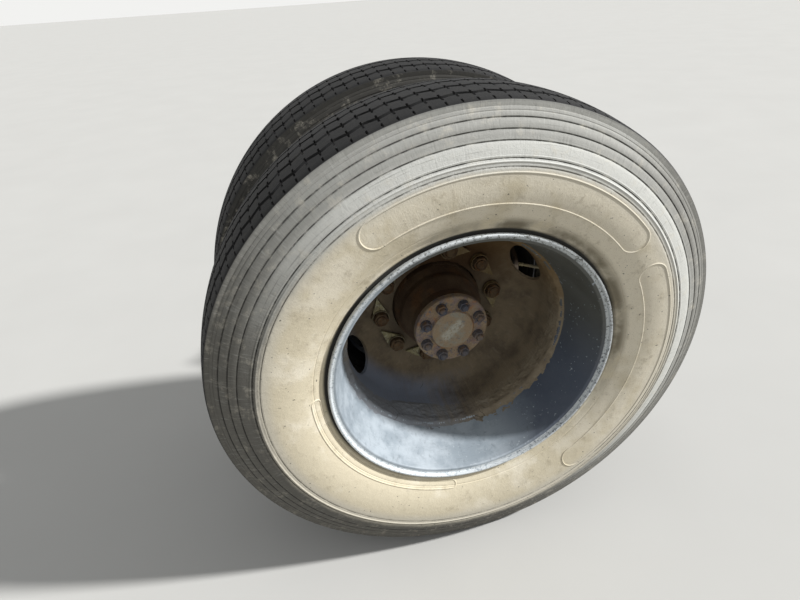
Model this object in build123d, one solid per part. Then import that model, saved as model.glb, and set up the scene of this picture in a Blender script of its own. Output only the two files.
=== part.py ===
from build123d import *
import math
import os

# Rear dual wheel and hub of a school bus, on the end of its drive axle.
# Millimetres. The wheels turn about Y, and the outboard side is -Y.
# +X points to the rear of the bus and +Z points up.
# The origin is the centre of the spindle's mounting face, which is the plane y = 0.

# Clearances
SEAT = 0.1            # pressed, welded or bolted seats on a radius
BEARING_GAP = 0.3     # running gap between a bearing and the hub
BEAD_GAP = 0.2        # tyre bead on its seat
SHIELD_GAP = 6.0      # drum mouth to dust shield
SHAFT_GAP = 5.0       # half shaft in the hollow spindle
DRUM_WHEEL_GAP = 10.0  # drum mouth's rim to the inner disc's wall
DRUM_BOWL_GAP = 12.0  # drum's bowl to the inner disc's bowl
CAM_ROOM = 44.55      # cam's axis to the drum's lining face
EAR_ROOM = 59.55      # shield ears to the drum's lining face
TUBE_ROOM = 5.0       # cam tube's foot to the spindle flange
SHIELD_INSET = 8.65   # shield's edge inside the drum mouth's rim

# Wheel stack, worked outwards from the mounting face
HUB_FACE = 229.2      # mounting face to the hub's wheel face
DRUM_WEB = 8.0
DISC_T = 11.0
INSET = 177.8         # rim centre plane to a disc's mating face
PCD = 285.75
STUD_COUNT = 10
STUD_PHASE = -102.8   # degrees from +X towards +Z
STUD_R = 11.0
STUD_CLEAR = 2.0      # stud to the holes in drum and discs
STUD_END = 1.0        # stud beyond its nut
STUD_HEAD_R = 16.0
STUD_HEAD_T = 9.0
PILOT_R = 110.0
PILOT_STEP = 2.0      # the drum's pilot beyond the wheel's

# Rim
RIM_WIDTH = 209.6     # between the flanges
LIP_OVERHANG = 14.2   # lip beyond the flange's inner face
SEAT_R = 285.75       # bead seat where it meets the flange
FLANGE_H = 12.7
RIM_T = 5.5
SEAT_SLOPE = 15.0     # degrees
WELL_DROP = 29.0      # bead seat to the bottom of the well
WELL_START = 6.0      # from the rim centre plane, towards the disc
WELL_WIDTH = 46.0
WELL_RISE = 22.0

# Disc
WALL_T = 6.5
FLAT_REACH = 31.775   # stud circle to the start of the bowl
HOLE_SPAN = 107.0     # hand hole along the rim
HOLE_PLACE = 64.0     # degrees round the bowl's arc, from the flat, to the hole's middle
HOLE_ARC = 76.0       # degrees of the bowl's arc that the hole takes
HOLE_TILT = 35.0      # degrees from the wheel's axis to the way the hole is punched
HOLE_PHASES = (22.2, 202.2)

# Tyre
TYRE_R = 527.0
TYRE_WIDTH = 279.0
MAX_WIDTH_R = 408.0
TREAD_HALF = 106.0
SHOULDER_DROP = 12.0
CROWN_DROP = 9.0
BEAD_WIDTH = 26.0
HEEL_CUT = 5.0
CASING_T = 17.0
TREAD_T = 34.0
GROOVE_HALF = 5.5
GROOVE_DEPTH = 11.0
GROOVES = (-70.0, -24.0, 24.0, 70.0)   # from the tyre's centre plane

# Hub
STUD_EDGE = 23.1      # stud circle to the stud flange's edge
HUB_FLANGE_T = 20.0
BARREL_R = 99.0
BARREL_STEP = 3.0     # barrel's foot inside the pilots
FLARE_START = 34.0    # the barrel's flare, out from the nuts' face
FLARE_END = 14.0
NOSE_R = 84.0
NOSE_COLLAR = 22.0
NOSE_CONE = 60.0      # nose to the end of its cone
PILOT_COUNT = 5
PILOT_LENGTH = 34.0
HUB_NOSE = 369.0      # mounting face to the hub's outboard end
HUB_TAIL = 115.0      # mounting face to the hub's inboard end
HUB_TAIL_R = 98.0
TAIL_FLARE_R = 8.0
TAIL_FLARE = 30.0
SCALLOP_R = 26.0
SCALLOP_DEPTH = 12.0

# Bearings: where a bearing's outboard side is, measured out from the mounting face
INNER_SEAT_R = 47.625
INNER_CUP_R = 76.2
INNER_BEARING_W = 39.7
INNER_BEARING_AT = 173.0
OUTER_SEAT_R = 33.34
OUTER_CUP_R = 56.36
OUTER_BEARING_W = 30.2
OUTER_BEARING_AT = 330.0
CUP_SHOULDER = 4.0
CONE_SHOULDER = 2.0   # bearing seats over the spindle beside them

# Axle shaft
SHAFT_R = 22.2
SHAFT_LENGTH = 1028.0
SHAFT_ROOT_R = 12.0   # flare into the drive flange
SHAFT_ROOT = 10.0
DRIVE_FLANGE_R = 85.0
DRIVE_FLANGE_T = 17.0
DRIVE_BOSS_R = 48.0
DRIVE_BOSS_H = 5.0
DRIVE_BOSS_FOOT = 4.0
DRIVE_BOLTS = 8
DRIVE_PCD = 133.0
DRIVE_PHASE = 22.5
DRIVE_STUD_R = 7.0
DRIVE_STUD_END = 5.0
DRIVE_NUT_AF = 22.0
DRIVE_NUT_H = 14.0
DRIVE_STUD_DEPTH = 20.0
DRIVE_HOLE_END = 4.0
SPLINE_TEETH = 20
SPLINE_R = 25.0
SPLINE_DEPTH = 3.0
SPLINE_LENGTH = 110.0
SPLINE_RUN_IN = 14.0

# Wheel nuts and pointers
NUT_AF = 33.0
NUT_H = 24.0
NUT_CHAMFER = 2.0
NUT_WASHER_R = 22.0
NUT_WASHER_T = 5.0
POINTER_RING_R = 21.6
POINTER_RING_H = 9.0
POINTER_T = 5.0
POINTER_NECK = 0.6    # tongue's sides inside the ring's edge
POINTER_REACH = 55.0  # nut's axis to the pointer's tip

# Drum
DRUM_WALL = 17.0
DRUM_LIP_STEP = 8.1
DRUM_LIP_T = 24.0
DRUM_MOUTH = 5.0      # mounting face to the drum's open end
DRUM_FLAT_STEP = 5.0

# Spindle
SPINDLE_FLANGE_T = 25.0
SPINDLE_END = 353.0
SPIGOT_STEP = 8.0     # spigot inside the root
SPINDLE_SPIGOT_H = 18.0
ROOT_ROOM = 21.5      # mounting holes to the spindle's root
ROOT_LENGTH = 30.0
COLLAR_STEP = 9.0
COLLAR_RISE = 13.0
COLLAR_LENGTH = 22.0
SEAL_RUN = 6.0
CONE_RUN = 8.0
MOUNT_EDGE = 18.0     # mounting hole's centre to the flange's edge
MOUNT_BOLTS = 12
MOUNT_HOLE_R = 8.5

# Brake spider and shield
SPIDER_T = 20.0
SPIDER_BORE_GAP = 6.0
SPIDER_RING = 12.0
CAM_BOSS_R = 34.0
CAM_BOSS_H = 18.0
CAM_SHAFT_R = 19.0
CAM_HEAD_W = 44.0
CAM_HEAD_GAP = 4.0
CAM_LOBE_R = 14.0
ANCHOR_SPACING = 62.0
ANCHOR_BOSS_R = 20.0
ANCHOR_HOLE_R = 12.0
ANCHOR_FRONT = 22.0
ANCHOR_BACK = 8.0
EAR_PAD_R = 13.0
EAR_ROOT = 28.0       # how far an ear runs in over the spindle flange
EAR_ANGLES = (52.0, 128.0, 232.0, 308.0)
SHIELD_T = 2.0
SHIELD_BORE_GAP = 6.0
SHIELD_LIP = 10.0
SHIELD_SPLIT = 2.0
SHIELD_NOTCH = 4.0    # notch round the cam tube's foot

# Cam tube, its bracket and the linkage
TUBE_R = 30.0
TUBE_T = 7.0
TUBE_FOOT = 12.0
TUBE_FOOT_T = 10.0
TUBE_END_WALL = 14.0
TUBE_GAP = 10.0       # cam tube's end to the slack adjuster
PLATE_T = 8.0
PLATE_EDGE = 24.0     # bracket plate beyond the chamber's studs
WEB_BACK = 12.0
WEB_EDGE = 6.0
WEB_TOP = 34.0
RIB_LENGTH = 44.0
RIB_WIDTH = 48.0
PLATE_HOLE_R = 8.5
ROD_HOLE_R = 20.8
SLACK_Y = 198.0       # middle of the slack adjuster
SLACK_ARM = 150.0
SLACK_W = 36.0
SLACK_HUB_R = 33.0
SLACK_TIP_R = 17.0
SLACK_TIP_W = 13.0
SLACK_ARM_FOOT = 8.0
SPLINE_END = 10.0     # camshaft beyond the slack adjuster
WORM_R = 19.0
WORM_LENGTH = 72.0
WORM_RISE = 16.0
HEX_R = 9.0
HEX_END = 12.0
ADJUSTER_R = 13.0
ADJUSTER_LENGTH = 50.0
ADJUSTER_RISE = 34.0
PUSH_ROD_R = 8.0
CLEVIS_PIN_R = 6.4
PIN_HEAD_STEP = 3.0
PIN_HEAD_T = 8.5
PIN_END = 6.0
CLEVIS_WALL = 9.0
CLEVIS_H = 26.0
CLEVIS_LENGTH = 76.0
CLEVIS_BACK = 16.0    # clevis behind its pin
CLEVIS_GAP = 0.5
CLEVIS_SLOT = 12.0    # slot beyond the slack adjuster's tip
LOCK_NUT_R = 14.0
LOCK_NUT_H = 14.0

# Brake chamber, along X from its mounting face
CHAMBER_REACH = 93.0  # cam's axis to the chamber's mounting face
CHAMBER_R = 96.0
CHAMBER_BAND_R = 103.0
CHAMBER_CUP = 52.0
CHAMBER_BASE_R = 74.0
CHAMBER_MOUTH_R = 26.0
CHAMBER_MIDDLE = 60.0
CHAMBER_SPRING = 118.0
CHAMBER_WALL = 12.0
CHAMBER_WAIST = 14.0
BAND_W = 18.0
BAND_BEVEL = 3.0
CHAMBER_STUDS = 120.65
CHAMBER_STUD_R = 8.0
CHAMBER_STUD_END = 34.0
DOME_R = 34.0
PORT_R = 14.0

# Stations along Y
DRUM_FACE = -HUB_FACE - DRUM_WEB
MATING = DRUM_FACE - DISC_T
NUT_FACE = MATING - DISC_T
OUTER_RIM = MATING - INSET
INNER_RIM = MATING + INSET
FLANGE_BACK = -HUB_FACE + HUB_FLANGE_T
STUD_TIP = NUT_FACE - NUT_H - STUD_END
NOSE = -HUB_NOSE
DRIVE_FACE = NOSE - DRIVE_FLANGE_T
FLANGE_FRONT = -SPINDLE_FLANGE_T
SPIDER_FRONT = FLANGE_FRONT - SPIDER_T
CAM_HEAD_END = SPIDER_FRONT - CAM_BOSS_H - CAM_HEAD_GAP
SHIELD_FACE = SHIELD_GAP - DRUM_MOUTH
SHIELD_EDGE = SHIELD_FACE + SHIELD_T + SHIELD_LIP
TUBE_END = SLACK_Y - SLACK_W / 2 - TUBE_GAP

# Radii of the wheel, from the bead seat inwards
WELL_R = SEAT_R - WELL_DROP
WELL_INNER_R = WELL_R - RIM_T
LAP_R = WELL_INNER_R - SEAT
WALL_R = LAP_R - WALL_T
BOWL_CENTRE_R = PCD / 2 + FLAT_REACH
BOWL_R = WALL_R - BOWL_CENTRE_R
STUD_HOLE_R = STUD_R + STUD_CLEAR
HUB_FLANGE_R = PCD / 2 + STUD_EDGE
DRUM_PILOT_R = PILOT_R + PILOT_STEP
BARREL_BASE_R = PILOT_R - BARREL_STEP

# Radii of the drum, brake and spindle, from the disc's wall inwards
DRUM_LIP_R = WALL_R - DRUM_WHEEL_GAP
DRUM_OUTER_R = DRUM_LIP_R - DRUM_LIP_STEP
DRUM_BORE_R = DRUM_OUTER_R - DRUM_WALL
SHIELD_R = DRUM_LIP_R - SHIELD_INSET
EAR_R = DRUM_BORE_R - EAR_ROOM
CAM_X = DRUM_BORE_R - CAM_ROOM
CHAMBER_X = CAM_X + CHAMBER_REACH
SPINDLE_FLANGE_R = CAM_X - TUBE_R - TUBE_FOOT - TUBE_ROOM
SHIELD_BORE_R = SPINDLE_FLANGE_R + SHIELD_BORE_GAP
EAR_START = SPINDLE_FLANGE_R - EAR_ROOT
MOUNT_PCD = 2 * (SPINDLE_FLANGE_R - MOUNT_EDGE)
SPINDLE_ROOT_R = MOUNT_PCD / 2 - MOUNT_HOLE_R - ROOT_ROOM
SPINDLE_SPIGOT_R = SPINDLE_ROOT_R - SPIGOT_STEP
SPIDER_BORE_R = SPINDLE_ROOT_R + SPIDER_BORE_GAP
SPINDLE_BORE_R = SHAFT_R + SHAFT_GAP


def turned(points, radii=0):
    """Turn a closed outline of (radius, y) points about the wheel axis."""
    outline = FilletPolyline(*points, radius=radii, close=True)
    return revolve(make_face(outline), Axis.Y)


def rod(radius, y_start, y_end, x=0, z=0):
    """A cylinder along Y between two stations."""
    face = Plane(origin=(x, y_start, z), x_dir=(1, 0, 0), z_dir=(0, 1, 0)) * Circle(radius)
    return extrude(face, y_end - y_start)


def side_plate(sketch, y_start, y_end):
    """Extrude a sketch drawn in x and z from one station along Y to another."""
    plane = Plane(origin=(0, y_start, 0), x_dir=(1, 0, 0), z_dir=(0, -1, 0))
    return extrude(plane * sketch, y_start - y_end)


def ring_of(count, pcd, phase=0.0):
    """Angle and centre (x, z) of each place on a bolt circle."""
    places = []
    for index in range(count):
        angle = phase + index * 360.0 / count
        x = pcd / 2 * math.cos(math.radians(angle))
        z = pcd / 2 * math.sin(math.radians(angle))
        places.append((angle, x, z))
    return places


def drilled(body, count, pcd, radius, y_start, y_end, phase=0.0):
    """Cut a circle of holes along Y."""
    for _, x, z in ring_of(count, pcd, phase):
        body -= rod(radius, y_start, y_end, x, z)
    return body


def rim(centre, side):
    """Drop-centre rim. The disc, the well and the short ledge lie on the given side."""
    half = RIM_WIDTH / 2
    fall = math.tan(math.radians(SEAT_SLOPE))
    skin = RIM_T / math.cos(math.radians(SEAT_SLOPE))
    lip_r = SEAT_R + FLANGE_H
    lip = half + LIP_OVERHANG
    well_end = WELL_START + WELL_WIDTH
    ledge = well_end + WELL_RISE
    long_foot_r = SEAT_R - half * fall
    ledge_r = SEAT_R - (half - ledge) * fall
    bend = RIM_T / 2
    roll = 0.4 * RIM_T
    # (u from the centre plane, radius, corner radius), the tyre side first
    rows = [
        (-half, SEAT_R, 0),
        (-half, lip_r, 7),
        (-lip, lip_r, roll),
        (-lip, lip_r - RIM_T, roll),
        (-half - RIM_T, lip_r - RIM_T, 3),
        (-half - RIM_T, SEAT_R - skin + 1.6, 4),
        (0, long_foot_r - skin, 0),
        (WELL_START + bend, WELL_INNER_R, 0),
        (well_end - bend, WELL_INNER_R, 0),
        (ledge - bend, ledge_r - skin, 0),
        (half + RIM_T, SEAT_R - skin + 1.6, 4),
        (half + RIM_T, lip_r - RIM_T, 3),
        (lip, lip_r - RIM_T, roll),
        (lip, lip_r, roll),
        (half, lip_r, 7),
        (half, SEAT_R, 0),
        (ledge, ledge_r, 6),
        (well_end, WELL_R, 6),
        (WELL_START, WELL_R, 0),
        (0, long_foot_r, 0),
    ]
    points = [(r, centre + side * u) for u, r, _ in rows]
    return turned(points, [corner for _, _, corner in rows])


def wheel_disc(centre, side):
    """Pressed disc: a flat centre, a bowl and a wall welded in the well, with two hand holes."""
    face = centre + side * (INSET - DISC_T)
    mate = centre + side * INSET
    lap = centre + side * WELL_START
    bowl_y = face - side * BOWL_R
    back_r = BOWL_R + WALL_T
    back_y = mate - side * back_r
    turn = math.sqrt(0.5)
    outline = Wire([
        Line((PILOT_R + SEAT / 2, mate), (BOWL_CENTRE_R, mate)),
        ThreePointArc((BOWL_CENTRE_R, mate),
                      (BOWL_CENTRE_R + back_r * turn, back_y + side * back_r * turn),
                      (LAP_R, back_y)),
        Line((LAP_R, back_y), (LAP_R, lap)),
        Line((LAP_R, lap), (WALL_R, lap)),
        Line((WALL_R, lap), (WALL_R, bowl_y)),
        ThreePointArc((WALL_R, bowl_y),
                      (BOWL_CENTRE_R + BOWL_R * turn, bowl_y + side * BOWL_R * turn),
                      (BOWL_CENTRE_R, face)),
        Line((BOWL_CENTRE_R, face), (PILOT_R + SEAT / 2, face)),
        Line((PILOT_R + SEAT / 2, face), (PILOT_R + SEAT / 2, mate)),
    ])
    disc = revolve(make_face(outline), Axis.Y)
    disc = drilled(disc, STUD_COUNT, PCD, STUD_HOLE_R, face - side, mate + side, STUD_PHASE)
    place, tilt, half_arc = (math.radians(a) for a in (HOLE_PLACE, HOLE_TILT, HOLE_ARC / 2))
    chord = BOWL_R * math.cos(half_arc)
    half_width = BOWL_R * math.sin(half_arc) * math.cos(place - tilt)
    for phase in HOLE_PHASES:
        angle = math.radians(phase)
        out = Vector(math.cos(angle), 0, math.sin(angle))
        along = Vector(-math.sin(angle), 0, math.cos(angle))
        normal = out * math.sin(tilt) + Vector(0, side * math.cos(tilt), 0)
        middle = (out * (BOWL_CENTRE_R + chord * math.sin(place))
                  + Vector(0, bowl_y + side * chord * math.cos(place), 0))
        plane = Plane(origin=middle - normal * BOWL_R, x_dir=along, z_dir=normal)
        disc -= extrude(plane * Ellipse(HOLE_SPAN / 2, half_width), 2 * BOWL_R)
    return disc


def tyre(centre):
    """Radial tyre: grooved crown, shoulders, bulged walls and two beads, open to the rim inside."""
    half = RIM_WIDTH / 2 - BEAD_GAP
    fall = math.tan(math.radians(SEAT_SLOPE))
    heel_r = SEAT_R + 4 * BEAD_GAP
    toe_r = heel_r - BEAD_WIDTH * fall
    lip_r = SEAT_R + FLANGE_H
    wide = TYRE_WIDTH / 2
    edge_r = TYRE_R - CROWN_DROP
    foot = (half + 3, lip_r + 7)
    corner = (TREAD_HALF + 4, edge_r - SHOULDER_DROP)
    inside = TYRE_R - TREAD_T
    lines = []
    for side in (1, -1):
        def at(u, r):
            return (r, centre + side * u)
        lines += [
            ThreePointArc(at(0, TYRE_R), at(TREAD_HALF / 2, TYRE_R - CROWN_DROP / 4),
                          at(TREAD_HALF, edge_r)),
            Line(at(TREAD_HALF, edge_r), at(*corner)),
            ThreePointArc(at(*corner), at(wide, MAX_WIDTH_R), at(*foot)),
            Line(at(*foot), at(half, lip_r)),
            Line(at(half, lip_r), at(half, heel_r + HEEL_CUT)),
            Line(at(half, heel_r + HEEL_CUT), at(half - HEEL_CUT, heel_r - HEEL_CUT * fall)),
            Line(at(half - HEEL_CUT, heel_r - HEEL_CUT * fall), at(half - BEAD_WIDTH, toe_r)),
            Line(at(half - BEAD_WIDTH, toe_r), at(half - BEAD_WIDTH + 6, lip_r + 14)),
            ThreePointArc(at(half - BEAD_WIDTH + 6, lip_r + 14), at(wide - CASING_T, MAX_WIDTH_R),
                          at(TREAD_HALF - CASING_T, inside - 6)),
            ThreePointArc(at(TREAD_HALF - CASING_T, inside - 6), at(TREAD_HALF / 2, inside - 1),
                          at(0, inside)),
        ]
    body = revolve(make_face(Wire(lines)), Axis.Y)
    for groove in GROOVES:
        floor_r = TYRE_R - CROWN_DROP * (groove / TREAD_HALF) ** 2 - GROOVE_DEPTH
        low, high = centre + groove - GROOVE_HALF, centre + groove + GROOVE_HALF
        body -= turned([(floor_r, low), (floor_r, high), (TYRE_R + 1, high), (TYRE_R + 1, low)])
    return body


def hub():
    """Hub casting: a nose, a barrel with five wheel pilots, a stud flange and a bearing tail."""
    outer_bore = OUTER_CUP_R + BEARING_GAP
    inner_bore = INNER_CUP_R + BEARING_GAP
    bore_r = OUTER_CUP_R - CUP_SHOULDER
    inner_stop = -INNER_BEARING_AT - 1
    outer_stop = OUTER_BEARING_W - OUTER_BEARING_AT + 1
    points = [
        (outer_bore, NOSE), (NOSE_R, NOSE), (NOSE_R, NOSE + NOSE_COLLAR), (BARREL_R, NOSE + NOSE_CONE),
        (BARREL_R, NUT_FACE - FLARE_START), (BARREL_BASE_R, NUT_FACE - FLARE_END),
        (BARREL_BASE_R, DRUM_FACE), (DRUM_PILOT_R - SEAT, DRUM_FACE),
        (DRUM_PILOT_R - SEAT, -HUB_FACE), (HUB_FLANGE_R, -HUB_FACE), (HUB_FLANGE_R, FLANGE_BACK),
        (HUB_TAIL_R + TAIL_FLARE_R, FLANGE_BACK), (HUB_TAIL_R, FLANGE_BACK + TAIL_FLARE),
        (HUB_TAIL_R, -HUB_TAIL), (inner_bore, -HUB_TAIL), (inner_bore, inner_stop),
        (bore_r, inner_stop), (bore_r, outer_stop), (outer_bore, outer_stop),
    ]
    radii = [0, 3, 8, 12, 12, 6, 0, 0, 0, 2, 4, 0, 0, 3, 0, 0, 0, 0, 0]
    body = turned(points, radii)
    pad_r = PILOT_R - SEAT / 2
    pad_end = DRUM_FACE - PILOT_LENGTH
    pad = turned([(BARREL_R - 4, pad_end), (pad_r - 2, pad_end), (pad_r, pad_end + 6),
                  (pad_r, DRUM_FACE), (BARREL_R - 4, DRUM_FACE)])
    slot_w = math.pi * PILOT_R / PILOT_COUNT
    for angle, x, z in ring_of(PILOT_COUNT, 2 * PILOT_R, STUD_PHASE):
        slot = Pos(0, DRUM_FACE - PILOT_LENGTH / 2, 0) * Rot(0, -angle, 0) * Box(
            4 * (PILOT_R - BARREL_R), PILOT_LENGTH * 2, slot_w).moved(Location((PILOT_R, 0, 0)))
        pad -= slot
    body += pad
    scallop = HUB_FLANGE_R + SCALLOP_R - SCALLOP_DEPTH
    for angle, x, z in ring_of(STUD_COUNT, 2 * scallop, STUD_PHASE + 180.0 / STUD_COUNT):
        body -= rod(SCALLOP_R, -HUB_FACE - 1, FLANGE_BACK + 1, x, z)
    body = drilled(body, STUD_COUNT, PCD, STUD_R + SEAT / 2, -HUB_FACE - 1, FLANGE_BACK + 1, STUD_PHASE)
    return drilled(body, DRIVE_BOLTS, DRIVE_PCD, DRIVE_STUD_R + SEAT / 2, NOSE - 1,
                   NOSE + DRIVE_STUD_DEPTH + DRIVE_HOLE_END, DRIVE_PHASE)


def wheel_studs():
    """Ten wheel studs with their heads behind the hub flange."""
    studs = []
    for _, x, z in ring_of(STUD_COUNT, PCD, STUD_PHASE):
        stud = rod(STUD_R, STUD_TIP, FLANGE_BACK, x, z)
        stud += rod(STUD_HEAD_R, FLANGE_BACK, FLANGE_BACK + STUD_HEAD_T, x, z)
        studs.append(stud)
    return studs


def wheel_nuts():
    """Ten hexagon nuts, each on its own round washer."""
    nuts = []
    for angle, x, z in ring_of(STUD_COUNT, PCD, STUD_PHASE):
        hexagon = Pos(x, z) * RegularPolygon(NUT_AF / 2, 6, major_radius=False, rotation=angle)
        nut = side_plate(hexagon, NUT_FACE - NUT_WASHER_T, NUT_FACE - NUT_H)
        nut = chamfer(nut.faces().sort_by(Axis.Y)[0].edges(), NUT_CHAMFER)
        nut += rod(NUT_WASHER_R, NUT_FACE - NUT_WASHER_T, NUT_FACE, x, z)
        nut -= rod(STUD_R + SEAT / 2, STUD_TIP - 1, NUT_FACE + 1, x, z)
        nuts.append(nut)
    return nuts


def nut_pointers():
    """Ten plastic rings on the nuts, each with a flat tongue that shows a nut turning loose.

    The tongue's two sides touch a circle just inside the ring's edge, so they meet it at the
    angle whose cosine is that circle's radius over the tongue's reach.
    """
    pointers = []
    start = NUT_FACE - NUT_WASHER_T
    ring_bore = NUT_AF / math.sqrt(3) + SEAT
    foot_r = POINTER_RING_R - POINTER_NECK
    touch = math.acos(foot_r / POINTER_REACH)
    foot_x, foot_z = foot_r * math.sin(touch), -foot_r * math.cos(touch)
    tongue = Polygon((0, -POINTER_REACH), (foot_x, foot_z), (-foot_x, foot_z), align=None)
    for angle, x, z in ring_of(STUD_COUNT, PCD, STUD_PHASE):
        place = Pos(x, z) * Rot(0, 0, angle)
        pointer = side_plate(place * (Circle(POINTER_RING_R) + tongue), start, start - POINTER_T)
        pointer += rod(POINTER_RING_R, start, start - POINTER_RING_H, x, z)
        pointer -= rod(ring_bore, start + 1, start - POINTER_RING_H - 1, x, z)
        pointers.append(pointer)
    return pointers


def brake_drum():
    """Cast drum with a pilot bore, a bowl that follows the inner disc, and a thick mouth."""
    bowl = BOWL_R - DRUM_BOWL_GAP
    bowl_y = DRUM_FACE + BOWL_R
    turn = math.sqrt(0.5)
    centre_r = DRUM_OUTER_R - bowl
    flat_r = centre_r - DRUM_FLAT_STEP
    mouth = -DRUM_MOUTH
    lip_y = mouth - DRUM_LIP_T
    outline = Wire([
        Line((DRUM_PILOT_R, DRUM_FACE), (flat_r, DRUM_FACE)),
        Line((flat_r, DRUM_FACE), (centre_r, bowl_y - bowl)),
        ThreePointArc((centre_r, bowl_y - bowl), (centre_r + bowl * turn, bowl_y - bowl * turn),
                      (DRUM_OUTER_R, bowl_y)),
        Line((DRUM_OUTER_R, bowl_y), (DRUM_OUTER_R, lip_y)),
        Line((DRUM_OUTER_R, lip_y), (DRUM_LIP_R, lip_y)),
        Line((DRUM_LIP_R, lip_y), (DRUM_LIP_R, mouth)),
        Line((DRUM_LIP_R, mouth), (DRUM_BORE_R, mouth)),
        Line((DRUM_BORE_R, mouth), (DRUM_BORE_R, bowl_y)),
        ThreePointArc((DRUM_BORE_R, bowl_y),
                      (centre_r + (bowl - DRUM_WALL) * turn, bowl_y - (bowl - DRUM_WALL) * turn),
                      (centre_r, bowl_y - bowl + DRUM_WALL)),
        Line((centre_r, bowl_y - bowl + DRUM_WALL), (centre_r, -HUB_FACE)),
        Line((centre_r, -HUB_FACE), (DRUM_PILOT_R, -HUB_FACE)),
        Line((DRUM_PILOT_R, -HUB_FACE), (DRUM_PILOT_R, DRUM_FACE)),
    ])
    drum = revolve(make_face(outline), Axis.Y)
    return drilled(drum, STUD_COUNT, PCD, STUD_HOLE_R, DRUM_FACE - 1, -HUB_FACE + 1, STUD_PHASE)


def axle_shaft():
    """Drive flange and half shaft in one forging, with a splined inner end."""
    tip = DRIVE_FACE + SHAFT_LENGTH
    points = [
        (0, DRIVE_FACE - DRIVE_BOSS_H), (DRIVE_BOSS_R, DRIVE_FACE - DRIVE_BOSS_H),
        (DRIVE_BOSS_R + DRIVE_BOSS_FOOT, DRIVE_FACE), (DRIVE_FLANGE_R, DRIVE_FACE), (DRIVE_FLANGE_R, NOSE),
        (SHAFT_R + SHAFT_ROOT_R, NOSE), (SHAFT_R, NOSE + SHAFT_ROOT),
        (SHAFT_R, tip - SPLINE_LENGTH - SPLINE_RUN_IN),
        (SPLINE_R, tip - SPLINE_LENGTH), (SPLINE_R, tip), (0, tip),
    ]
    shaft = turned(points, [0, 0, 0, 4, 2, 0, 0, 0, 0, 0, 0])
    groove_w = math.pi * SPLINE_R / SPLINE_TEETH
    for angle, x, z in ring_of(SPLINE_TEETH, 2 * SPLINE_R):
        groove = Rot(0, -angle, 0) * Pos(SPLINE_R, tip - SPLINE_LENGTH / 2, 0) * Box(
            2 * SPLINE_DEPTH, SPLINE_LENGTH + 1, groove_w)
        shaft -= groove
    return drilled(shaft, DRIVE_BOLTS, DRIVE_PCD, DRIVE_STUD_R + SEAT / 2, DRIVE_FACE - 1, NOSE + 1,
                   DRIVE_PHASE)


def drive_studs():
    """Eight studs and nuts that hold the drive flange on the hub."""
    studs = []
    nut_top = DRIVE_FACE - DRIVE_NUT_H
    for angle, x, z in ring_of(DRIVE_BOLTS, DRIVE_PCD, DRIVE_PHASE):
        hexagon = Pos(x, z) * RegularPolygon(DRIVE_NUT_AF / 2, 6, major_radius=False, rotation=angle)
        stud = side_plate(hexagon, DRIVE_FACE, nut_top)
        stud += rod(DRIVE_STUD_R, nut_top - DRIVE_STUD_END, NOSE + DRIVE_STUD_DEPTH, x, z)
        studs.append(stud)
    return studs


def spindle():
    """Hollow spindle with its bolt flange, two bearing seats and a threaded end."""
    inner_back = INNER_BEARING_W - INNER_BEARING_AT
    outer_back = OUTER_BEARING_W - OUTER_BEARING_AT
    thread_r = OUTER_SEAT_R - CONE_SHOULDER
    body_r = INNER_SEAT_R - CONE_SHOULDER
    points = [
        (SPINDLE_BORE_R, SPINDLE_SPIGOT_H), (SPINDLE_BORE_R, -SPINDLE_END),
        (thread_r, -SPINDLE_END), (thread_r, -OUTER_BEARING_AT - 1), (OUTER_SEAT_R, -OUTER_BEARING_AT - 1),
        (OUTER_SEAT_R, outer_back), (body_r, outer_back + CONE_RUN),
        (body_r, -INNER_BEARING_AT - SEAL_RUN), (INNER_SEAT_R, -INNER_BEARING_AT - 2),
        (INNER_SEAT_R, inner_back), (INNER_SEAT_R + COLLAR_STEP, inner_back),
        (INNER_SEAT_R + COLLAR_RISE, inner_back + COLLAR_LENGTH),
        (SPINDLE_ROOT_R, FLANGE_FRONT - ROOT_LENGTH), (SPINDLE_ROOT_R, FLANGE_FRONT),
        (SPINDLE_FLANGE_R, FLANGE_FRONT), (SPINDLE_FLANGE_R, 0),
        (SPINDLE_SPIGOT_R, 0), (SPINDLE_SPIGOT_R, SPINDLE_SPIGOT_H),
    ]
    body = turned(points, [0, 0, 1, 0, 0, 0, 0, 0, 0, 0, 0, 0, 6, 0, 2, 0, 0, 2])
    return drilled(body, MOUNT_BOLTS, MOUNT_PCD, MOUNT_HOLE_R, FLANGE_FRONT - 1, 1)


def wheel_bearings():
    """The two taper roller bearings, as plain rings on their seats."""
    # (seat radius, outer radius, width, place)
    table = [
        (INNER_SEAT_R, INNER_CUP_R, INNER_BEARING_W, INNER_BEARING_AT),
        (OUTER_SEAT_R, OUTER_CUP_R, OUTER_BEARING_W, OUTER_BEARING_AT),
    ]
    return [turned([(seat_r, -at), (outer_r, -at), (outer_r, width - at), (seat_r, width - at)])
            for seat_r, outer_r, width, at in table]


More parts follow.
